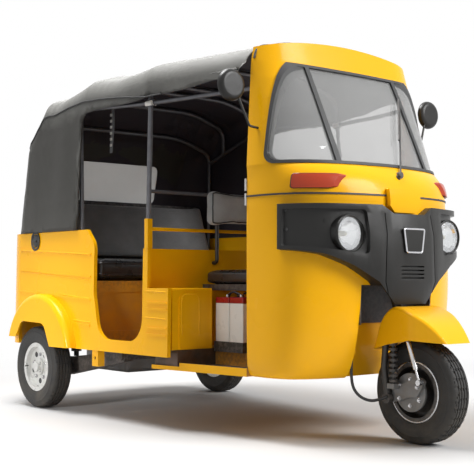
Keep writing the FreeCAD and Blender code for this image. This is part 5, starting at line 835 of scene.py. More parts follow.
def add_canopy():
    """The stretched canvas over the bows, dark inside, with its fine folds."""
    sheet = copy_of_node("canopy", "canopy_canvas")
    split_long_edges(sheet, CANOPY_EDGE_LENGTH)
    for vertex in sheet.data.vertices:
        vertex.co += outward_of(vertex.co) * fold_at(vertex.co)
    relax_rear_corners(sheet)
    sheet.data.materials.clear()
    sheet.data.materials.append(FINISHES["canvas"])
    sheet.data.materials.append(FINISHES["lining"])
    for face in sheet.data.polygons:
        face.material_index = 1 if face.normal.dot(outward_of(face.center)) < -0.15 else 0
    smooth(sheet, 50.0)
    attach(sheet, "body")
    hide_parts("canopy")
    return sheet


canvas = add_canopy()
CANVAS_TREE = tree_of(canvas)
WELT_RADIUS = 0.0035
EAVE_WELT = (
    (0.17, 1.451), (0.02, 1.465), (-0.12, 1.480), (-0.32, 1.499), (-0.525, 1.507), (-0.69, 1.498),
    (-0.85, 1.478), (-0.98, 1.425), (-1.05, 1.395),
)
REAR_WELT_HEIGHT = 1.385
WELT_SPACING = 0.02


def on_canvas(point, lift):
    """The nearest place on the canvas to a point outside it, lifted off the cloth."""
    near = CANVAS_TREE.find_nearest(Vector(point))[0]
    away = (Vector(point) - near).normalized()
    return near + away * lift


def spread_points(points, spacing):
    """Points along straight runs, one at each spacing."""
    made = []
    for start, end in zip(points, points[1:]):
        start, end = Vector(start), Vector(end)
        count = max(1, int((end - start).length / spacing))
        made += [start + (end - start) * (step / count) for step in range(count)]
    return made + [Vector(points[-1])]


def add_welts():
    """The sewn welt along the eaves and round the back."""
    right = [(x, -0.70, z) for x, z in EAVE_WELT]
    back = [(-1.20, -0.66, 1.38), (-1.30, -0.50, 1.38), (-1.34, -0.25, REAR_WELT_HEIGHT),
            (-1.34, 0.0, REAR_WELT_HEIGHT)]
    half = spread_points(right + back, WELT_SPACING)
    left = [Vector((p.x, -p.y, p.z)) for p in reversed(half[:-1])]
    path = [on_canvas(point, WELT_RADIUS * 0.4) for point in half + left]
    welt = new_cord("canopy_welt", [tuple(point) for point in path], WELT_RADIUS)
    mount(welt, "rubber")


add_welts()


HANGING_STRAPS = (
    ("hanging_strap_dark", (-0.530, -0.400, 1.548), "vinyl", 0.022),
    ("hanging_strap_pale", (-0.500, -0.420, 1.545), "cloth", 0.024),
)
STRAP_LENGTH = 0.27
STRAP_THICKNESS = 0.0024
STRAP_WAVE = 0.006
STRAP_WAVE_RATE = 16.0
STRAP_LEAN = 0.010
STITCH_X = (-0.509, -0.491)
STITCH_Y = (-0.4265, -0.4235)
STITCH_TOP = 1.470
STITCH_STEP = 0.030
STITCH_HEIGHT = 0.014
STITCH_COUNT = 6


def add_hanging_straps():
    """Two webbing straps that hang from the rear bow, one marked with pale stitching blocks."""
    for name, start, finish, width in HANGING_STRAPS:
        low = (start[0] - width / 2, start[1] - STRAP_THICKNESS / 2, start[2] - STRAP_LENGTH)
        high = (start[0] + width / 2, start[1] + STRAP_THICKNESS / 2, start[2])
        strap = new_block(name, low, high)
        finish_with(strap, "SUBSURF", subdivision_type="SIMPLE", levels=4, render_levels=4)
        for vertex in strap.data.vertices:
            drop = high[2] - vertex.co.z
            vertex.co.y += STRAP_WAVE * math.sin(drop * STRAP_WAVE_RATE)
            vertex.co.x += STRAP_LEAN * drop
        mount(smooth(strap), finish)
    marks = []
    for place in range(STITCH_COUNT):
        top = STITCH_TOP - STITCH_STEP * place
        mark = new_block("mark", (STITCH_X[0], STITCH_Y[0], top - STITCH_HEIGHT),
                         (STITCH_X[1], STITCH_Y[1], top))
        marks.append(round_edges(mark, 0.001))
    mount(joined("strap_stitch_blocks", marks), "white")


add_hanging_straps()

# Padded seats

SIMULATED_FRAMES = 20


def stuffed(node, name, finish, voxel, pressure, cap, start_inset, pins=None):
    """A cushion: the frame's solid remeshed, blown up as cloth, held to a small swell and smoothed."""
    pad = face_outwards(copy_of_node(node, name))
    pad.data.remesh_voxel_size = voxel
    bpy.ops.object.voxel_remesh()
    bpy.ops.object.mode_set(mode="EDIT")
    bpy.ops.mesh.select_all(action="SELECT")
    bpy.ops.transform.shrink_fatten(value=-start_inset)
    leave_edit()
    if pins:
        group = pad.vertex_groups.new(name="sewn")
        group.add([vertex.index for vertex in pad.data.vertices if pins(vertex.co)], 1.0, "REPLACE")
    rest = [vertex.co.copy() for vertex in pad.data.vertices]
    only(pad)
    cloth = pad.modifiers.new("cloth", "CLOTH")
    cloth.settings.quality = 5
    cloth.settings.use_pressure = True
    cloth.settings.uniform_pressure_force = pressure
    cloth.settings.effector_weights.gravity = 0.0
    if pins:
        cloth.settings.vertex_group_mass = "sewn"
    cloth.point_cache.frame_end = SIMULATED_FRAMES
    for step in range(1, SIMULATED_FRAMES + 1):
        bpy.context.scene.frame_set(step)
    bpy.ops.object.modifier_apply(modifier=cloth.name)
    bpy.context.scene.frame_set(1)
    for vertex, start in zip(pad.data.vertices, rest):
        moved = vertex.co - start
        if moved.length > cap:
            vertex.co = start + moved.normalized() * cap
    finish_with(pad, "SMOOTH", factor=0.5, iterations=3)
    finish_with(pad, "SUBSURF", levels=1, render_levels=1)
    smooth(pad, 80.0)
    mount(pad, finish)
    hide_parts(node)
    return pad


stuffed("bench_cushion", "passenger_cushion", "vinyl", 0.012, 4.0, 0.014, 0.010)
stuffed("bench_backrest", "passenger_backrest", "cloth", 0.012, 4.0, 0.014, 0.009)
stuffed("driver_cushion", "driver_seat_pad", "vinyl", 0.009, 4.0, 0.010, 0.007)
stuffed("driver_backrest", "driver_back_pad", "pale_cloth", 0.008, 4.0, 0.012, 0.008)

# Tyres and rims

WHEELS = (
    ("front", FRONT_HUB, "front_wheel", 1),
    ("rear_right", (-0.8875, -0.575, 0.205), "rear_wheel_right", -1),
    ("rear_left", (-0.8875, 0.575, 0.205), "rear_wheel_left", 1),
)
SIDEWALL = (
    (0.1080, 0.0407), (0.1198, 0.0407), (0.1235, 0.0440), (0.1290, 0.0462), (0.1300, 0.0474),
    (0.1330, 0.0474), (0.1345, 0.0482), (0.1480, 0.0515), (0.1600, 0.0523), (0.1720, 0.0518),
    (0.1730, 0.0527), (0.1760, 0.0524), (0.1770, 0.0508), (0.1880, 0.0492), (0.1940, 0.0470),
    (0.1995, 0.0425), (0.2030, 0.0375), (0.2042, 0.0330),
)
GROOVES = (-0.0235, -0.0080, 0.0080, 0.0235)
GROOVE_HALF = 0.0024
GROOVE_DEPTH = 0.0060
TREAD_RADIUS = 0.2049
TREAD_STEPS = 132


def tread_profile():
    """A tyre's section from bead to bead, with its grooves."""
    profile = [(radius, -offset) for radius, offset in SIDEWALL]
    for groove in GROOVES:
        profile += [
            (TREAD_RADIUS, groove - GROOVE_HALF), (TREAD_RADIUS - GROOVE_DEPTH, groove - GROOVE_HALF * 0.6),
            (TREAD_RADIUS - GROOVE_DEPTH, groove + GROOVE_HALF * 0.6), (TREAD_RADIUS, groove + GROOVE_HALF),
        ]
    return profile + [(radius, offset) for radius, offset in reversed(SIDEWALL)]


def add_tyre():
    """One tyre at the front hub: ribs, grooves, sipes across the shoulders and lines on the wall."""
    centre = Vector(WHEELS[0][1])
    tyre = spun("front_tyre_tread", tread_profile(), tuple(centre), steps=TREAD_STEPS)

    def place(face_centre):
        across = face_centre - centre
        radius = math.hypot(across.x, across.z)
        turn = math.degrees(math.atan2(across.z, across.x)) % 360.0
        return radius, across.y, int(turn / 360.0 * TREAD_STEPS + 0.5)

    def is_sipe(face_centre, normal):
        radius, offset, step = place(face_centre)
        shoulder = 0.0262 < abs(offset) < 0.0425 and radius > 0.1985
        rib = abs(offset) < 0.0205 and radius > TREAD_RADIUS - 0.001
        return (shoulder and step % 3 == 0) or (rib and step % 4 == 2)

    pick_faces(tyre, is_sipe)
    bpy.ops.mesh.inset(thickness=0.0006, depth=-0.0028)
    leave_edit()
    finish_with(tyre, "BEVEL", width=0.0006, segments=1, limit_method="ANGLE", angle_limit=math.radians(40.0))
    return smooth(tyre, 38.0)


front_tread = add_tyre()
for wheel_name, hub, body_name, outer in WHEELS[1:]:
    shift = Vector(hub) - Vector(WHEELS[0][1])
    tread = copied(front_tread, wheel_name + "_tyre_tread", tuple(shift))
    mount(tread, "tyre", body_name)
    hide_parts("rear_tyre_" + wheel_name.split("_")[1])
mount(front_tread, "tyre", "front_wheel")
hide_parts("front_tyre")


def bolt_head(name, centre, axis, radius, height):
    """A hexagon head on a round washer."""
    start = Vector(centre)
    axis = Vector(axis)
    washer = new_rod(name + "_washer", start, start + axis * height * 0.3, radius * 1.35, 20)
    head = new_rod(name, start + axis * height * 0.3, start + axis * height, radius, 6)
    round_edges(head, radius * 0.12, 1)
    return joined(name, [head, washer])


def node_tree(node):
    """A search tree of one CAD node's surface."""
    return tree_of(NODES[node])


def struck(tree, origin, direction):
    """Where a straight line first meets a surface, or None."""
    return tree.ray_cast(Vector(origin), Vector(direction))[0]


RAY_START = 0.2
LUG_RADIUS = 0.062
LUG_COUNT = 5
LUG_TURN = 0.3
LUG_SINK = 0.001
LUG_SIZE = 0.0075
LUG_HEIGHT = 0.011
SLOT_RADIUS = 0.072
SLOT_HOLE_RADIUS = 0.0140
SLOT_SINK = 0.002
SLOT_THICKNESS = 0.0032
FLANGE = ((0.1185, 0.0412), (0.1215, 0.0418), (0.1222, 0.0445), (0.1200, 0.0462), (0.1165, 0.0458),
          (0.1150, 0.0438), (0.1160, 0.0418), (0.1185, 0.0412))
VALVE_FOOT = (-0.098, 0.036)
VALVE_REACH = (0.014, 0.024)
VALVE_RADII = (0.0035, 0.0028)


def add_rim_details():
    """Lug bolts, black discs of painted shade for the vent slots, a bright flange ring and a valve on each
    rim.
    """
    for wheel, hub, body, side in WHEELS:
        node = wheel.replace("rear_", "rear_rim_") if wheel != "front" else "front_rim"
        tree = node_tree(node)
        bolts, painted_hole_shades = [], []
        hub = Vector(hub)
        outside = Vector((0.0, side * RAY_START, 0.0))
        for step in range(LUG_COUNT):
            angle = 2 * math.pi * step / LUG_COUNT + LUG_TURN
            spoke = Vector((math.cos(angle), 0.0, math.sin(angle)))
            found = struck(tree, hub + spoke * LUG_RADIUS + outside, (0.0, -side, 0.0))
            if found:
                seat = found - Vector((0.0, side * LUG_SINK, 0.0))
                bolts.append(bolt_head("lug", seat, (0.0, side, 0.0), LUG_SIZE, LUG_HEIGHT))
            # Each vent slot is a black disc on the rim's face: painted shade where the hole looks dark.
            angle += math.pi / LUG_COUNT
            spoke = Vector((math.cos(angle), 0.0, math.sin(angle)))
            found = struck(tree, hub + spoke * SLOT_RADIUS + outside, (0.0, -side, 0.0))
            if found:
                start = found - Vector((0.0, side * SLOT_SINK, 0.0))
                end = start + Vector((0.0, side * SLOT_THICKNESS, 0.0))
                slot = new_rod("slot", start, end, SLOT_HOLE_RADIUS, 24)
                painted_hole_shades.append(round_edges(slot, 0.0008, 1))
        if bolts:
            mount(smooth(joined(wheel + "_lug_bolts", bolts)), "steel", body)
        if painted_hole_shades:
            mount(smooth(joined(wheel + "_rim_slots", painted_hole_shades)), "rubber", body)
        rings = []
        for face in (-1, 1):
            section = [(radius, face * offset) for radius, offset in FLANGE]
            rings.append(spun("flange", section, tuple(hub), steps=72))
        ring = joined(wheel + "_flange_rings", rings)
        mount(smooth(ring, 50.0), "steel" if wheel == "front" else "silver", body)
        foot = hub + Vector((VALVE_FOOT[0], side * VALVE_FOOT[1], 0.0))
        tip = foot + Vector((VALVE_REACH[0], side * VALVE_REACH[1], 0.0))
        valve = new_rod(wheel + "_valve", foot, tip, VALVE_RADII[0], 14, VALVE_RADII[1])
        mount(smooth(round_edges(valve, 0.0006, 1)), "rubber", body)


add_rim_details()

# Front trim: lamp bezels, mask screws, roof bead and wiper pivot

MASK_EDGE = 0.0045
BEZEL_GROW = 0.0035
BEZEL_BACK = 0.00585
BEZEL_INWARDS = 0.0036
SCREW_Y = 0.474
SCREW_HEIGHTS = (0.9205, 0.8455)
ROOF_BEAD_X = 0.630
ROOF_BEAD_RADIUS = 0.0048
WIPER_PIVOT = (0.984, 0.012, 1.066)
PIVOT_AXIS = (0.84, 0.0, 0.54)


def add_signal_bezels():
    """A dark frame round each turn signal: the lens grown a little and set back."""
    bezel = copy_of_node("front_turn_signals", "turn_signal_bezels")
    bpy.ops.object.mode_set(mode="EDIT")
    bpy.ops.mesh.select_all(action="SELECT")
    bpy.ops.mesh.normals_make_consistent(inside=False)
    bpy.ops.transform.shrink_fatten(value=BEZEL_GROW)
    leave_edit()
    for vertex in bezel.data.vertices:
        vertex.co.x -= BEZEL_BACK
        vertex.co.y -= math.copysign(BEZEL_INWARDS, vertex.co.y)
    mount(smooth(bezel), "tail_dark")


def add_soft_mask():
    """The mask moulding with its edges rounded, so that they catch the light."""
    mask = copy_of_node("front_mask", "mask_moulding")
    finish_with(mask, "DECIMATE", decimate_type="DISSOLVE", angle_limit=math.radians(1.5))
    finish_with(mask, "BEVEL", width=MASK_EDGE, segments=3, limit_method="ANGLE",
                angle_limit=math.radians(28.0), use_clamp_overlap=True)
    finish_with(mask, "TRIANGULATE")
    mount(smooth(mask, 40.0), "mask_black")
    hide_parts("front_mask")


SCREW_TILT = (0.9, 0.43)
SCREW_SIZE = 0.0050
SCREW_HEAD = 0.0045


def add_mask_screws():
    tree = node_tree("front_mask")
    for side, word in ((-1, "right"), (1, "left")):
        screws = []
        for height in SCREW_HEIGHTS:
            found = struck(tree, (1.5, side * SCREW_Y, height), (-1.0, 0.0, 0.0))
            if found:
                axis = (SCREW_TILT[0], side * SCREW_TILT[1], 0.0)
                screws.append(bolt_head("screw", found, axis, SCREW_SIZE, SCREW_HEAD))
        if screws:
            mount(smooth(joined("mask_screws_" + word, screws)), "rubber")


ROOF_BEAD_STEPS = 60
ROOF_BEAD_FIRST = -8.0
ROOF_BEAD_SWEEP = 196.0
ROOF_BEAD_REACH = 0.9
ROOF_BEAD_MIDDLE_Z = 1.20
ROOF_BEAD_LOWEST_Z = 1.52
ROOF_BEAD_FARTHEST = 0.75
ROOF_BEAD_PROUD = ROOF_BEAD_RADIUS * 0.35


def add_roof_bead():
    """The rubber bead over the rear edge of the cab's roof."""
    tree = node_tree("cab_screen_surround")
    path = []
    for step in range(ROOF_BEAD_STEPS + 1):
        angle = math.radians(ROOF_BEAD_FIRST + ROOF_BEAD_SWEEP * step / ROOF_BEAD_STEPS)
        out = Vector((0.0, math.cos(angle), math.sin(angle)))
        start = Vector((ROOF_BEAD_X, 0.0, ROOF_BEAD_MIDDLE_Z)) + out * ROOF_BEAD_REACH
        found = struck(tree, start, -out)
        if found and found.z > ROOF_BEAD_LOWEST_Z and (found - start).length < ROOF_BEAD_FARTHEST:
            path.append(found + out * ROOF_BEAD_PROUD)
    bead = new_cord("cab_roof_bead", [tuple(point) for point in path], ROOF_BEAD_RADIUS)
    mount(bead, "rubber")


def add_wiper_pivot():
    start, axis = Vector(WIPER_PIVOT), Vector(PIVOT_AXIS)
    boot = new_rod("boot", start - axis * 0.004, start + axis * 0.010, 0.0130, 28, 0.0100)
    nut = new_rod("nut", start + axis * 0.009, start + axis * 0.019, 0.0075, 6)
    mount(smooth(joined("wiper_pivot", [round_edges(boot, 0.0015), round_edges(nut, 0.0008, 1)])), "rubber")


add_signal_bezels()
add_soft_mask()
add_mask_screws()
add_roof_bead()
add_wiper_pivot()

# Headlamps: a bright faceted reflector, a bulb and a black rim behind the frame's lens

LAMP_CENTRE = (1.0065, -0.300, 0.829)
REFLECTOR = ((0.0655, -0.0010), (0.0620, -0.0090), (0.0560, -0.0190), (0.0470, -0.0290), (0.0360, -0.0385),
             (0.0240, -0.0455), (0.0120, -0.0490), (0.0, -0.0500))
REFLECTOR_STEPS = 20


def spun_forward(name, profile, centre, steps):
    """A profile of (radius, offset along X) spun about the lamp's axis."""
    points = [(centre[0] + offset, centre[1], centre[2] + radius) for radius, offset in profile]
    obj = turned(name, points, centre, (1.0, 0.0, 0.0), steps)
    leave_edit()
    return obj


def add_lamps_inside():
    right = spun_forward("lamp_reflector_right", REFLECTOR, LAMP_CENTRE, REFLECTOR_STEPS)
    face_outwards(only(right), inside=True)
    finish_with(right, "SOLIDIFY", thickness=0.001, offset=1.0)
    bulb_profile = ((0.0115, -0.0495), (0.0115, -0.0380), (0.0095, -0.0290), (0.0090, -0.0200),
                    (0.0060, -0.0150), (0.0, -0.0135))
    bulb = smooth(spun_forward("lamp_bulb_right", bulb_profile, LAMP_CENTRE, 24), 60.0)
    trim_profile = ((0.0665, 0.0055), (0.0675, 0.0080), (0.0705, 0.0092), (0.0735, 0.0080), (0.0748, 0.0050),
                    (0.0748, 0.0010), (0.0738, 0.0010), (0.0738, 0.0045), (0.0665, 0.0055))
    trim = smooth(spun_forward("lamp_trim_right", trim_profile, LAMP_CENTRE, 72), 60.0)
    for part, finish, slot in ((right, "reflector", "chrome_tube"), (bulb, "white", "white_plastic"),
                               (trim, "mask_black", "black_plastic")):
        left = copied(part, part.name.replace("right", "left"), mirror_y=True)
        mount(part, finish)
        mount(left, finish)


add_lamps_inside()

# Badge frame: a bright border round the blank plate


BADGE_CORNERS = ((0.064, 0.854), (0.048, 0.756), (-0.048, 0.756), (-0.064, 0.854))
BADGE_MIDDLE = Vector((0.0, 0.805))
BADGE_INSET_SHARE = 0.05
BADGE_CORNER_CUT = 0.016
BADGE_BORDER_SINK = 0.001
BADGE_BORDER_RADIUS = 0.0042


def add_badge_frame():
    low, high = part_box("front_badge")
    front = high.x - BADGE_BORDER_SINK
    points = []
    for place, corner in enumerate(BADGE_CORNERS):
        before, after = BADGE_CORNERS[place - 1], BADGE_CORNERS[(place + 1) % len(BADGE_CORNERS)]
        here = Vector(corner)
        here = here + (BADGE_MIDDLE - here) * BADGE_INSET_SHARE
        for other in (before, after):
            away = (Vector(other) - here).normalized()
            near = here + away * BADGE_CORNER_CUT
            points.append((front, near.x, near.y))
            if other is before:
                points.append((front, here.x, here.y))
    border = new_cord("badge_border", points, BADGE_BORDER_RADIUS, closed=True, sides=4)
    mount(border, "chrome")


add_badge_frame()

# Seat pipings and the battery's fittings


def add_piping(name, pad, corners, radius, finish, spacing=0.015):
    """A sewn piping that runs round a pad, each point laid on its surface."""
    tree = tree_of(bpy.data.objects[pad])
    loop = spread_points([Vector(corner) for corner in corners] + [Vector(corners[0])], spacing)[:-1]
    path = []
    for point in loop:
        near, normal, _, _ = tree.find_nearest(point)
        path.append(tuple(near + normal * radius * 0.3))
    piping = new_cord(name, path, radius, closed=True, sides=2)
    mount(piping, finish)


PIPING_REACH = 0.01
BENCH_PIPING_HALF = 0.575
BENCH_PIPING_RADIUS = 0.0040
PAD_PIPING_RADIUS = 0.0035
BENCH_LOW, BENCH_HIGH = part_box("bench_cushion")
BENCH_ENDS = (BENCH_LOW.x - PIPING_REACH, BENCH_HIGH.x + PIPING_REACH)
BENCH_PIPINGS = (("cushion_piping_top", BENCH_HIGH.z + 0.004), ("cushion_piping_low", BENCH_LOW.z + 0.022))
for piping_name, height in BENCH_PIPINGS:
    add_piping(piping_name, "passenger_cushion",
               ((BENCH_ENDS[1], -BENCH_PIPING_HALF, height), (BENCH_ENDS[1], BENCH_PIPING_HALF, height),
                (BENCH_ENDS[0], BENCH_PIPING_HALF, height), (BENCH_ENDS[0], -BENCH_PIPING_HALF, height)),
               BENCH_PIPING_RADIUS, "vinyl")
PAD_LOW, PAD_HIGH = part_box("driver_backrest")
PAD_FRONT = PAD_HIGH.x + PIPING_REACH
PAD_SIDES = (PAD_LOW.y - PIPING_REACH, PAD_HIGH.y + PIPING_REACH)
PAD_ENDS = (PAD_LOW.z - PIPING_REACH, PAD_HIGH.z + PIPING_REACH)
add_piping("back_pad_piping", "driver_back_pad",
           ((PAD_FRONT, PAD_SIDES[0], PAD_ENDS[1]), (PAD_FRONT, PAD_SIDES[1], PAD_ENDS[1]),
            (PAD_FRONT, PAD_SIDES[1], PAD_ENDS[0]), (PAD_FRONT, PAD_SIDES[0], PAD_ENDS[0])),
           PAD_PIPING_RADIUS, "vinyl")


TERMINAL_INSET = 0.030
TERMINAL_SPAN = (-0.002, 0.012)
TERMINAL_RADIUS = 0.0065
CARRIER_HALF_LENGTHS = (0.036, 0.026)
CARRIER_HEIGHTS = (-0.004, 0.020)
CARRIER_RADIUS = 0.0035
CABLE_HEIGHTS = (0.008, 0.024)
CABLE_SHIFT = (0.02, 0.004)
CABLE_RADIUS = 0.0040


def add_battery_fittings():
    """Two terminals with their cables, and a carrying strap over each case."""
    low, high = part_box("battery_lids")
    middle = (low.x + high.x) / 2
    centres = ((low.x + middle) / 2, (middle + high.x) / 2)
    side_y, mid_y = low.y + TERMINAL_INSET, (low.y + high.y) / 2
    foot, top = (high.z + height for height in CARRIER_HEIGHTS)
    posts, straps = [], []
    for x in centres:
        start, end = ((x, side_y, high.z + height) for height in TERMINAL_SPAN)
        posts.append(round_edges(new_rod("post", start, end, TERMINAL_RADIUS, 20), 0.001))
        far, near = CARRIER_HALF_LENGTHS
        path = ((x - far, mid_y, foot), (x - near, mid_y, top),
                (x + near, mid_y, top), (x + far, mid_y, foot))
        straps.append(new_cord("strap", path, CARRIER_RADIUS))
    ends_z, arch_z = (high.z + height for height in CABLE_HEIGHTS)
    arch_y = side_y - CABLE_SHIFT[1]
    route = ((centres[0], side_y, ends_z), (middle - CABLE_SHIFT[0], arch_y, arch_z),
             (middle + CABLE_SHIFT[0], arch_y, arch_z), (centres[1], side_y, ends_z))
    cable = new_cord("cable", route, CABLE_RADIUS)
    mount(smooth(joined("battery_terminals", posts)), "steel")
    mount(joined("battery_straps", straps + [cable]), "rubber")


add_battery_fittings()

# Side panels: pressed ribs, with the arches, the rear ledge and the filler

RIBS = (
    ((-1.205, 0.806), (-0.430, 0.770)), ((-1.205, 0.699), (-0.425, 0.646)),
    ((-0.690, 0.575), (-0.415, 0.557)), ((-0.560, 0.452), (-0.405, 0.445)),
    ((0.055, 0.622), (0.205, 0.618)), ((0.055, 0.598), (0.205, 0.594)),
    ((0.055, 0.482), (0.205, 0.478)),
)
RIB_RADIUS = 0.0042
RIB_SINK = 0.0022
RIB_STEP = 0.03
PANEL_RAY_Y = -1.0
PANEL_INNERMOST_Y = -0.45


def add_ribs():
    """Raised lines pressed into both side panels."""
    tree = node_tree("side_panel_right")
    ribs = []
    for (x0, z0), (x1, z1) in RIBS:
        path = []
        count = max(2, int(abs(x1 - x0) / RIB_STEP))
        for step in range(count + 1):
            share = step / count
            start = (x0 + (x1 - x0) * share, PANEL_RAY_Y, z0 + (z1 - z0) * share)
            found = struck(tree, start, (0.0, 1.0, 0.0))
            if found and found.y < PANEL_INNERMOST_Y:
                path.append((found.x, found.y + RIB_SINK, found.z))
        if len(path) > 2:
            ribs.append(new_cord("rib", path, RIB_RADIUS, sides=4))
    right = joined("side_ribs_right", ribs)
    left = copied(right, "side_ribs_left", mirror_y=True)
    mount(right, "yellow")
    mount(left, "yellow")


add_ribs()

ARCH = ((-0.525, 0.405), (-0.525, 0.560), (-0.519, 0.578), (-0.505, 0.586), (-0.450, 0.586), (-0.436, 0.578),
        (-0.430, 0.560), (-0.430, 0.405))


def add_partition_arches():
    """The arch pressed into the partition's lower box, on both sides of the driver."""
    tree = node_tree("partition")
    path = []
    for point in spread_points([(0.0, y, z) for y, z in ARCH], 0.02):
        found = struck(tree, (1.0, point.y, point.z), (-1.0, 0.0, 0.0))
        path.append((found.x - RIB_SINK, found.y, found.z))
    right = new_cord("partition_arch_right", path, RIB_RADIUS, sides=4)
    left = copied(right, "partition_arch_left", mirror_y=True)
    mount(right, "yellow")
    mount(left, "yellow")


add_partition_arches()

LEDGE_HEIGHTS = (0.868, 0.883)
LEDGE_DEPTH = 0.085
LEDGE_HALF = 0.54
LEDGE_CORNER = 0.13


def add_rear_ledge():
    """The sheet that closes the rear body's rim against the foot of the canopy."""
    found = struck(node_tree("rear_panel"), (-1.0, 0.0, LEDGE_HEIGHTS[0] + 0.004), (-1.0, 0.0, 0.0))
    ledge = new_block("rear_ledge", (found.x + 0.0005, -LEDGE_HALF, LEDGE_HEIGHTS[0]),
                      (found.x + LEDGE_DEPTH, LEDGE_HALF, LEDGE_HEIGHTS[1]))
    only(ledge)
    bpy.ops.object.mode_set(mode="EDIT")
    bpy.ops.mesh.select_mode(type="EDGE")
    bpy.ops.mesh.select_all(action="DESELECT")
    leave_edit()
    points = ledge.data.vertices
    for edge in ledge.data.edges:
        a, b = (points[index].co for index in edge.vertices)
        edge.select = abs(a.z - b.z) > 0.005 and a.x < found.x + 0.01
    bpy.ops.object.mode_set(mode="EDIT")
    bpy.ops.mesh.bevel(offset=LEDGE_CORNER * 0.6, segments=10)
    leave_edit()
    mount(smooth(ledge), "yellow")


add_rear_ledge()

FILLER_PLACE = (-0.945, 0.845)
FILLER_PROUD = 0.002
FILLER_NARROWING = 0.88
FILLER_RIM = ((0.046, 0.0), (0.050, -0.004), (0.050, -0.008), (0.044, -0.009),
              (0.038, -0.004), (0.036, -0.001))
FILLER_CAP = ((0.0, -0.0080), (0.020, -0.0080), (0.026, -0.0060), (0.034, -0.0030), (0.036, 0.0))
GRIP_LOW = Vector((-0.022, -0.0120, -0.005))
GRIP_HIGH = Vector((0.022, -0.0050, 0.005))


def add_filler():
    """The black oval pocket round the fuel cap on the right side."""
    start = (FILLER_PLACE[0], PANEL_RAY_Y, FILLER_PLACE[1])
    found = struck(node_tree("side_panel_right"), start, (0.0, 1.0, 0.0))
    seat = (found.x, found.y + FILLER_PROUD, found.z)
    collar = spun("filler_collar", FILLER_RIM, seat, steps=48)
    lid = spun("filler_lid", FILLER_CAP, seat, steps=48)
    grip = new_block("grip", tuple(found + GRIP_LOW), tuple(found + GRIP_HIGH))
    round_edges(grip, 0.002)
    piece = smooth(joined("filler_pocket", [collar, lid, grip]), 40.0)
    for vertex in piece.data.vertices:
        vertex.co.x = found.x + (vertex.co.x - found.x) * FILLER_NARROWING
    mount(piece, "rubber")


add_filler()

# Hinge plates on the cab's rear edge


LEAF_X = (0.6120, 0.6172)
LEAF_Y = 0.483
LEAF_HALF_WIDTH = 0.009
LEAF_FEET = (0.950, 1.010)
LEAF_HEIGHT = 0.050
LEAF_SCREW_HEIGHTS = (0.012, 0.038)
LEAF_SCREW_X = 0.6122
PIN_Y = 0.4935
PIN_RADIUS = 0.0040


def add_hinge_plates():
    for side, word in ((-1, "right"), (1, "left")):
        parts = []
        for low_z in LEAF_FEET:
            high_z = low_z + LEAF_HEIGHT
            plate = new_block("leaf", (LEAF_X[0], side * LEAF_Y - LEAF_HALF_WIDTH, low_z),
                              (LEAF_X[1], side * LEAF_Y + LEAF_HALF_WIDTH, high_z))
            parts.append(round_edges(plate, 0.001))
            for height in LEAF_SCREW_HEIGHTS:
                head = (LEAF_SCREW_X, side * LEAF_Y, low_z + height)
                parts.append(bolt_head("screw", head, (-1.0, 0.0, 0.0), 0.0035, 0.0025))
            foot, top = ((LEAF_X[0], side * PIN_Y, z) for z in (low_z, high_z))
            parts.append(new_rod("pin", foot, top, PIN_RADIUS, 16))
        mount(smooth(joined("cab_hinge_" + word, parts)), "steel")


add_hinge_plates()

# Bolt heads on the front brake plate


PLATE_BOLT_COUNT = 6
PLATE_BOLT_TURN = 0.5
PLATE_BOLT_CIRCLE = 0.052
PLATE_RAY_Y = -0.3
PLATE_BOLT_SINK = 0.0008
PLATE_BOLT_SIZE = 0.0062
PLATE_BOLT_HEIGHT = 0.009


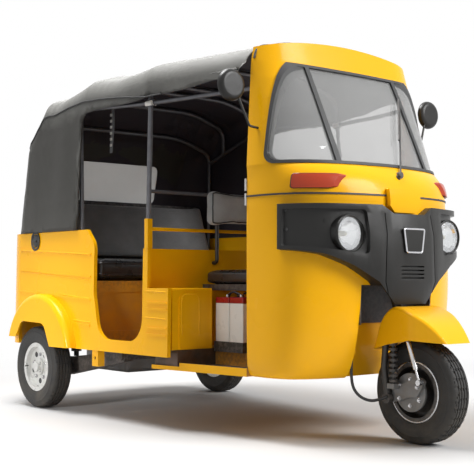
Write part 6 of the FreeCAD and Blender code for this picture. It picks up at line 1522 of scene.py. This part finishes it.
def add_brake_plate_bolts():
    places = []
    plate_tree = node_tree("front_link")
    for step in range(PLATE_BOLT_COUNT):
        angle = 2 * math.pi * step / PLATE_BOLT_COUNT + PLATE_BOLT_TURN
        across, up = math.cos(angle) * PLATE_BOLT_CIRCLE, math.sin(angle) * PLATE_BOLT_CIRCLE
        found = struck(plate_tree, Vector(FRONT_HUB) + Vector((across, PLATE_RAY_Y, up)), (0.0, 1.0, 0.0))
        if found:
            seat = found + Vector((0.0, PLATE_BOLT_SINK, 0.0))
            places.append(bolt_head("bolt", seat, (0.0, -1.0, 0.0), PLATE_BOLT_SIZE, PLATE_BOLT_HEIGHT))
    if places:
        mount(smooth(joined("brake_plate_bolts", places)), "steel", "steering")


add_brake_plate_bolts()

# Floor


def add_floor():
    """A pale floor that fades to white and keeps the shadow."""
    bpy.ops.object.select_all(action="DESELECT")
    bpy.ops.mesh.primitive_plane_add(size=FLOOR_SIZE, location=(0.0, 0.0, FLOOR_LIFT))
    floor = bpy.context.object
    floor.name = "studio_floor"
    material = bpy.data.materials.new("pale_floor")
    material.use_nodes = True
    tree = material.node_tree
    shader = tree.nodes["Principled BSDF"]
    vector = tree.nodes.new("ShaderNodeTexCoord").outputs["Object"]
    base = place_group(tree, "mottle", vector, Scale=0.6, Tone_A=(0.60, 0.60, 0.60, 1.0),
                       Tone_B=(0.58, 0.58, 0.58, 1.0), Contrast=0.5)
    join(tree, base.outputs["Color"], shader.inputs["Base Color"])
    shader.inputs["Roughness"].default_value = 0.9
    shader.inputs["Specular IOR Level"].default_value = 0.0
    length = tree.nodes.new("ShaderNodeVectorMath")
    length.operation = "LENGTH"
    join(tree, vector, length.inputs[0])
    fade = tree.nodes.new("ShaderNodeMapRange")
    fade.interpolation_type = "SMOOTHSTEP"
    join(tree, length.outputs["Value"], fade.inputs["Value"])
    fade.inputs["From Min"].default_value = FLOOR_FADE[0]
    fade.inputs["From Max"].default_value = FLOOR_FADE[1]
    path = tree.nodes.new("ShaderNodeLightPath")
    seen = math_node(tree, "MAXIMUM", path.outputs["Is Camera Ray"], path.outputs["Is Glossy Ray"])
    seen = math_node(tree, "MAXIMUM", seen, path.outputs["Is Transmission Ray"])
    glow = tree.nodes.new("ShaderNodeEmission")
    join(tree, seen, glow.inputs["Strength"])
    mixed = tree.nodes.new("ShaderNodeMixShader")
    join(tree, fade.outputs["Result"], mixed.inputs["Fac"])
    join(tree, shader.outputs["BSDF"], mixed.inputs[1])
    join(tree, glow.outputs["Emission"], mixed.inputs[2])
    join(tree, mixed.outputs["Shader"], tree.nodes["Material Output"].inputs["Surface"])
    floor.data.materials.append(material)


add_floor()
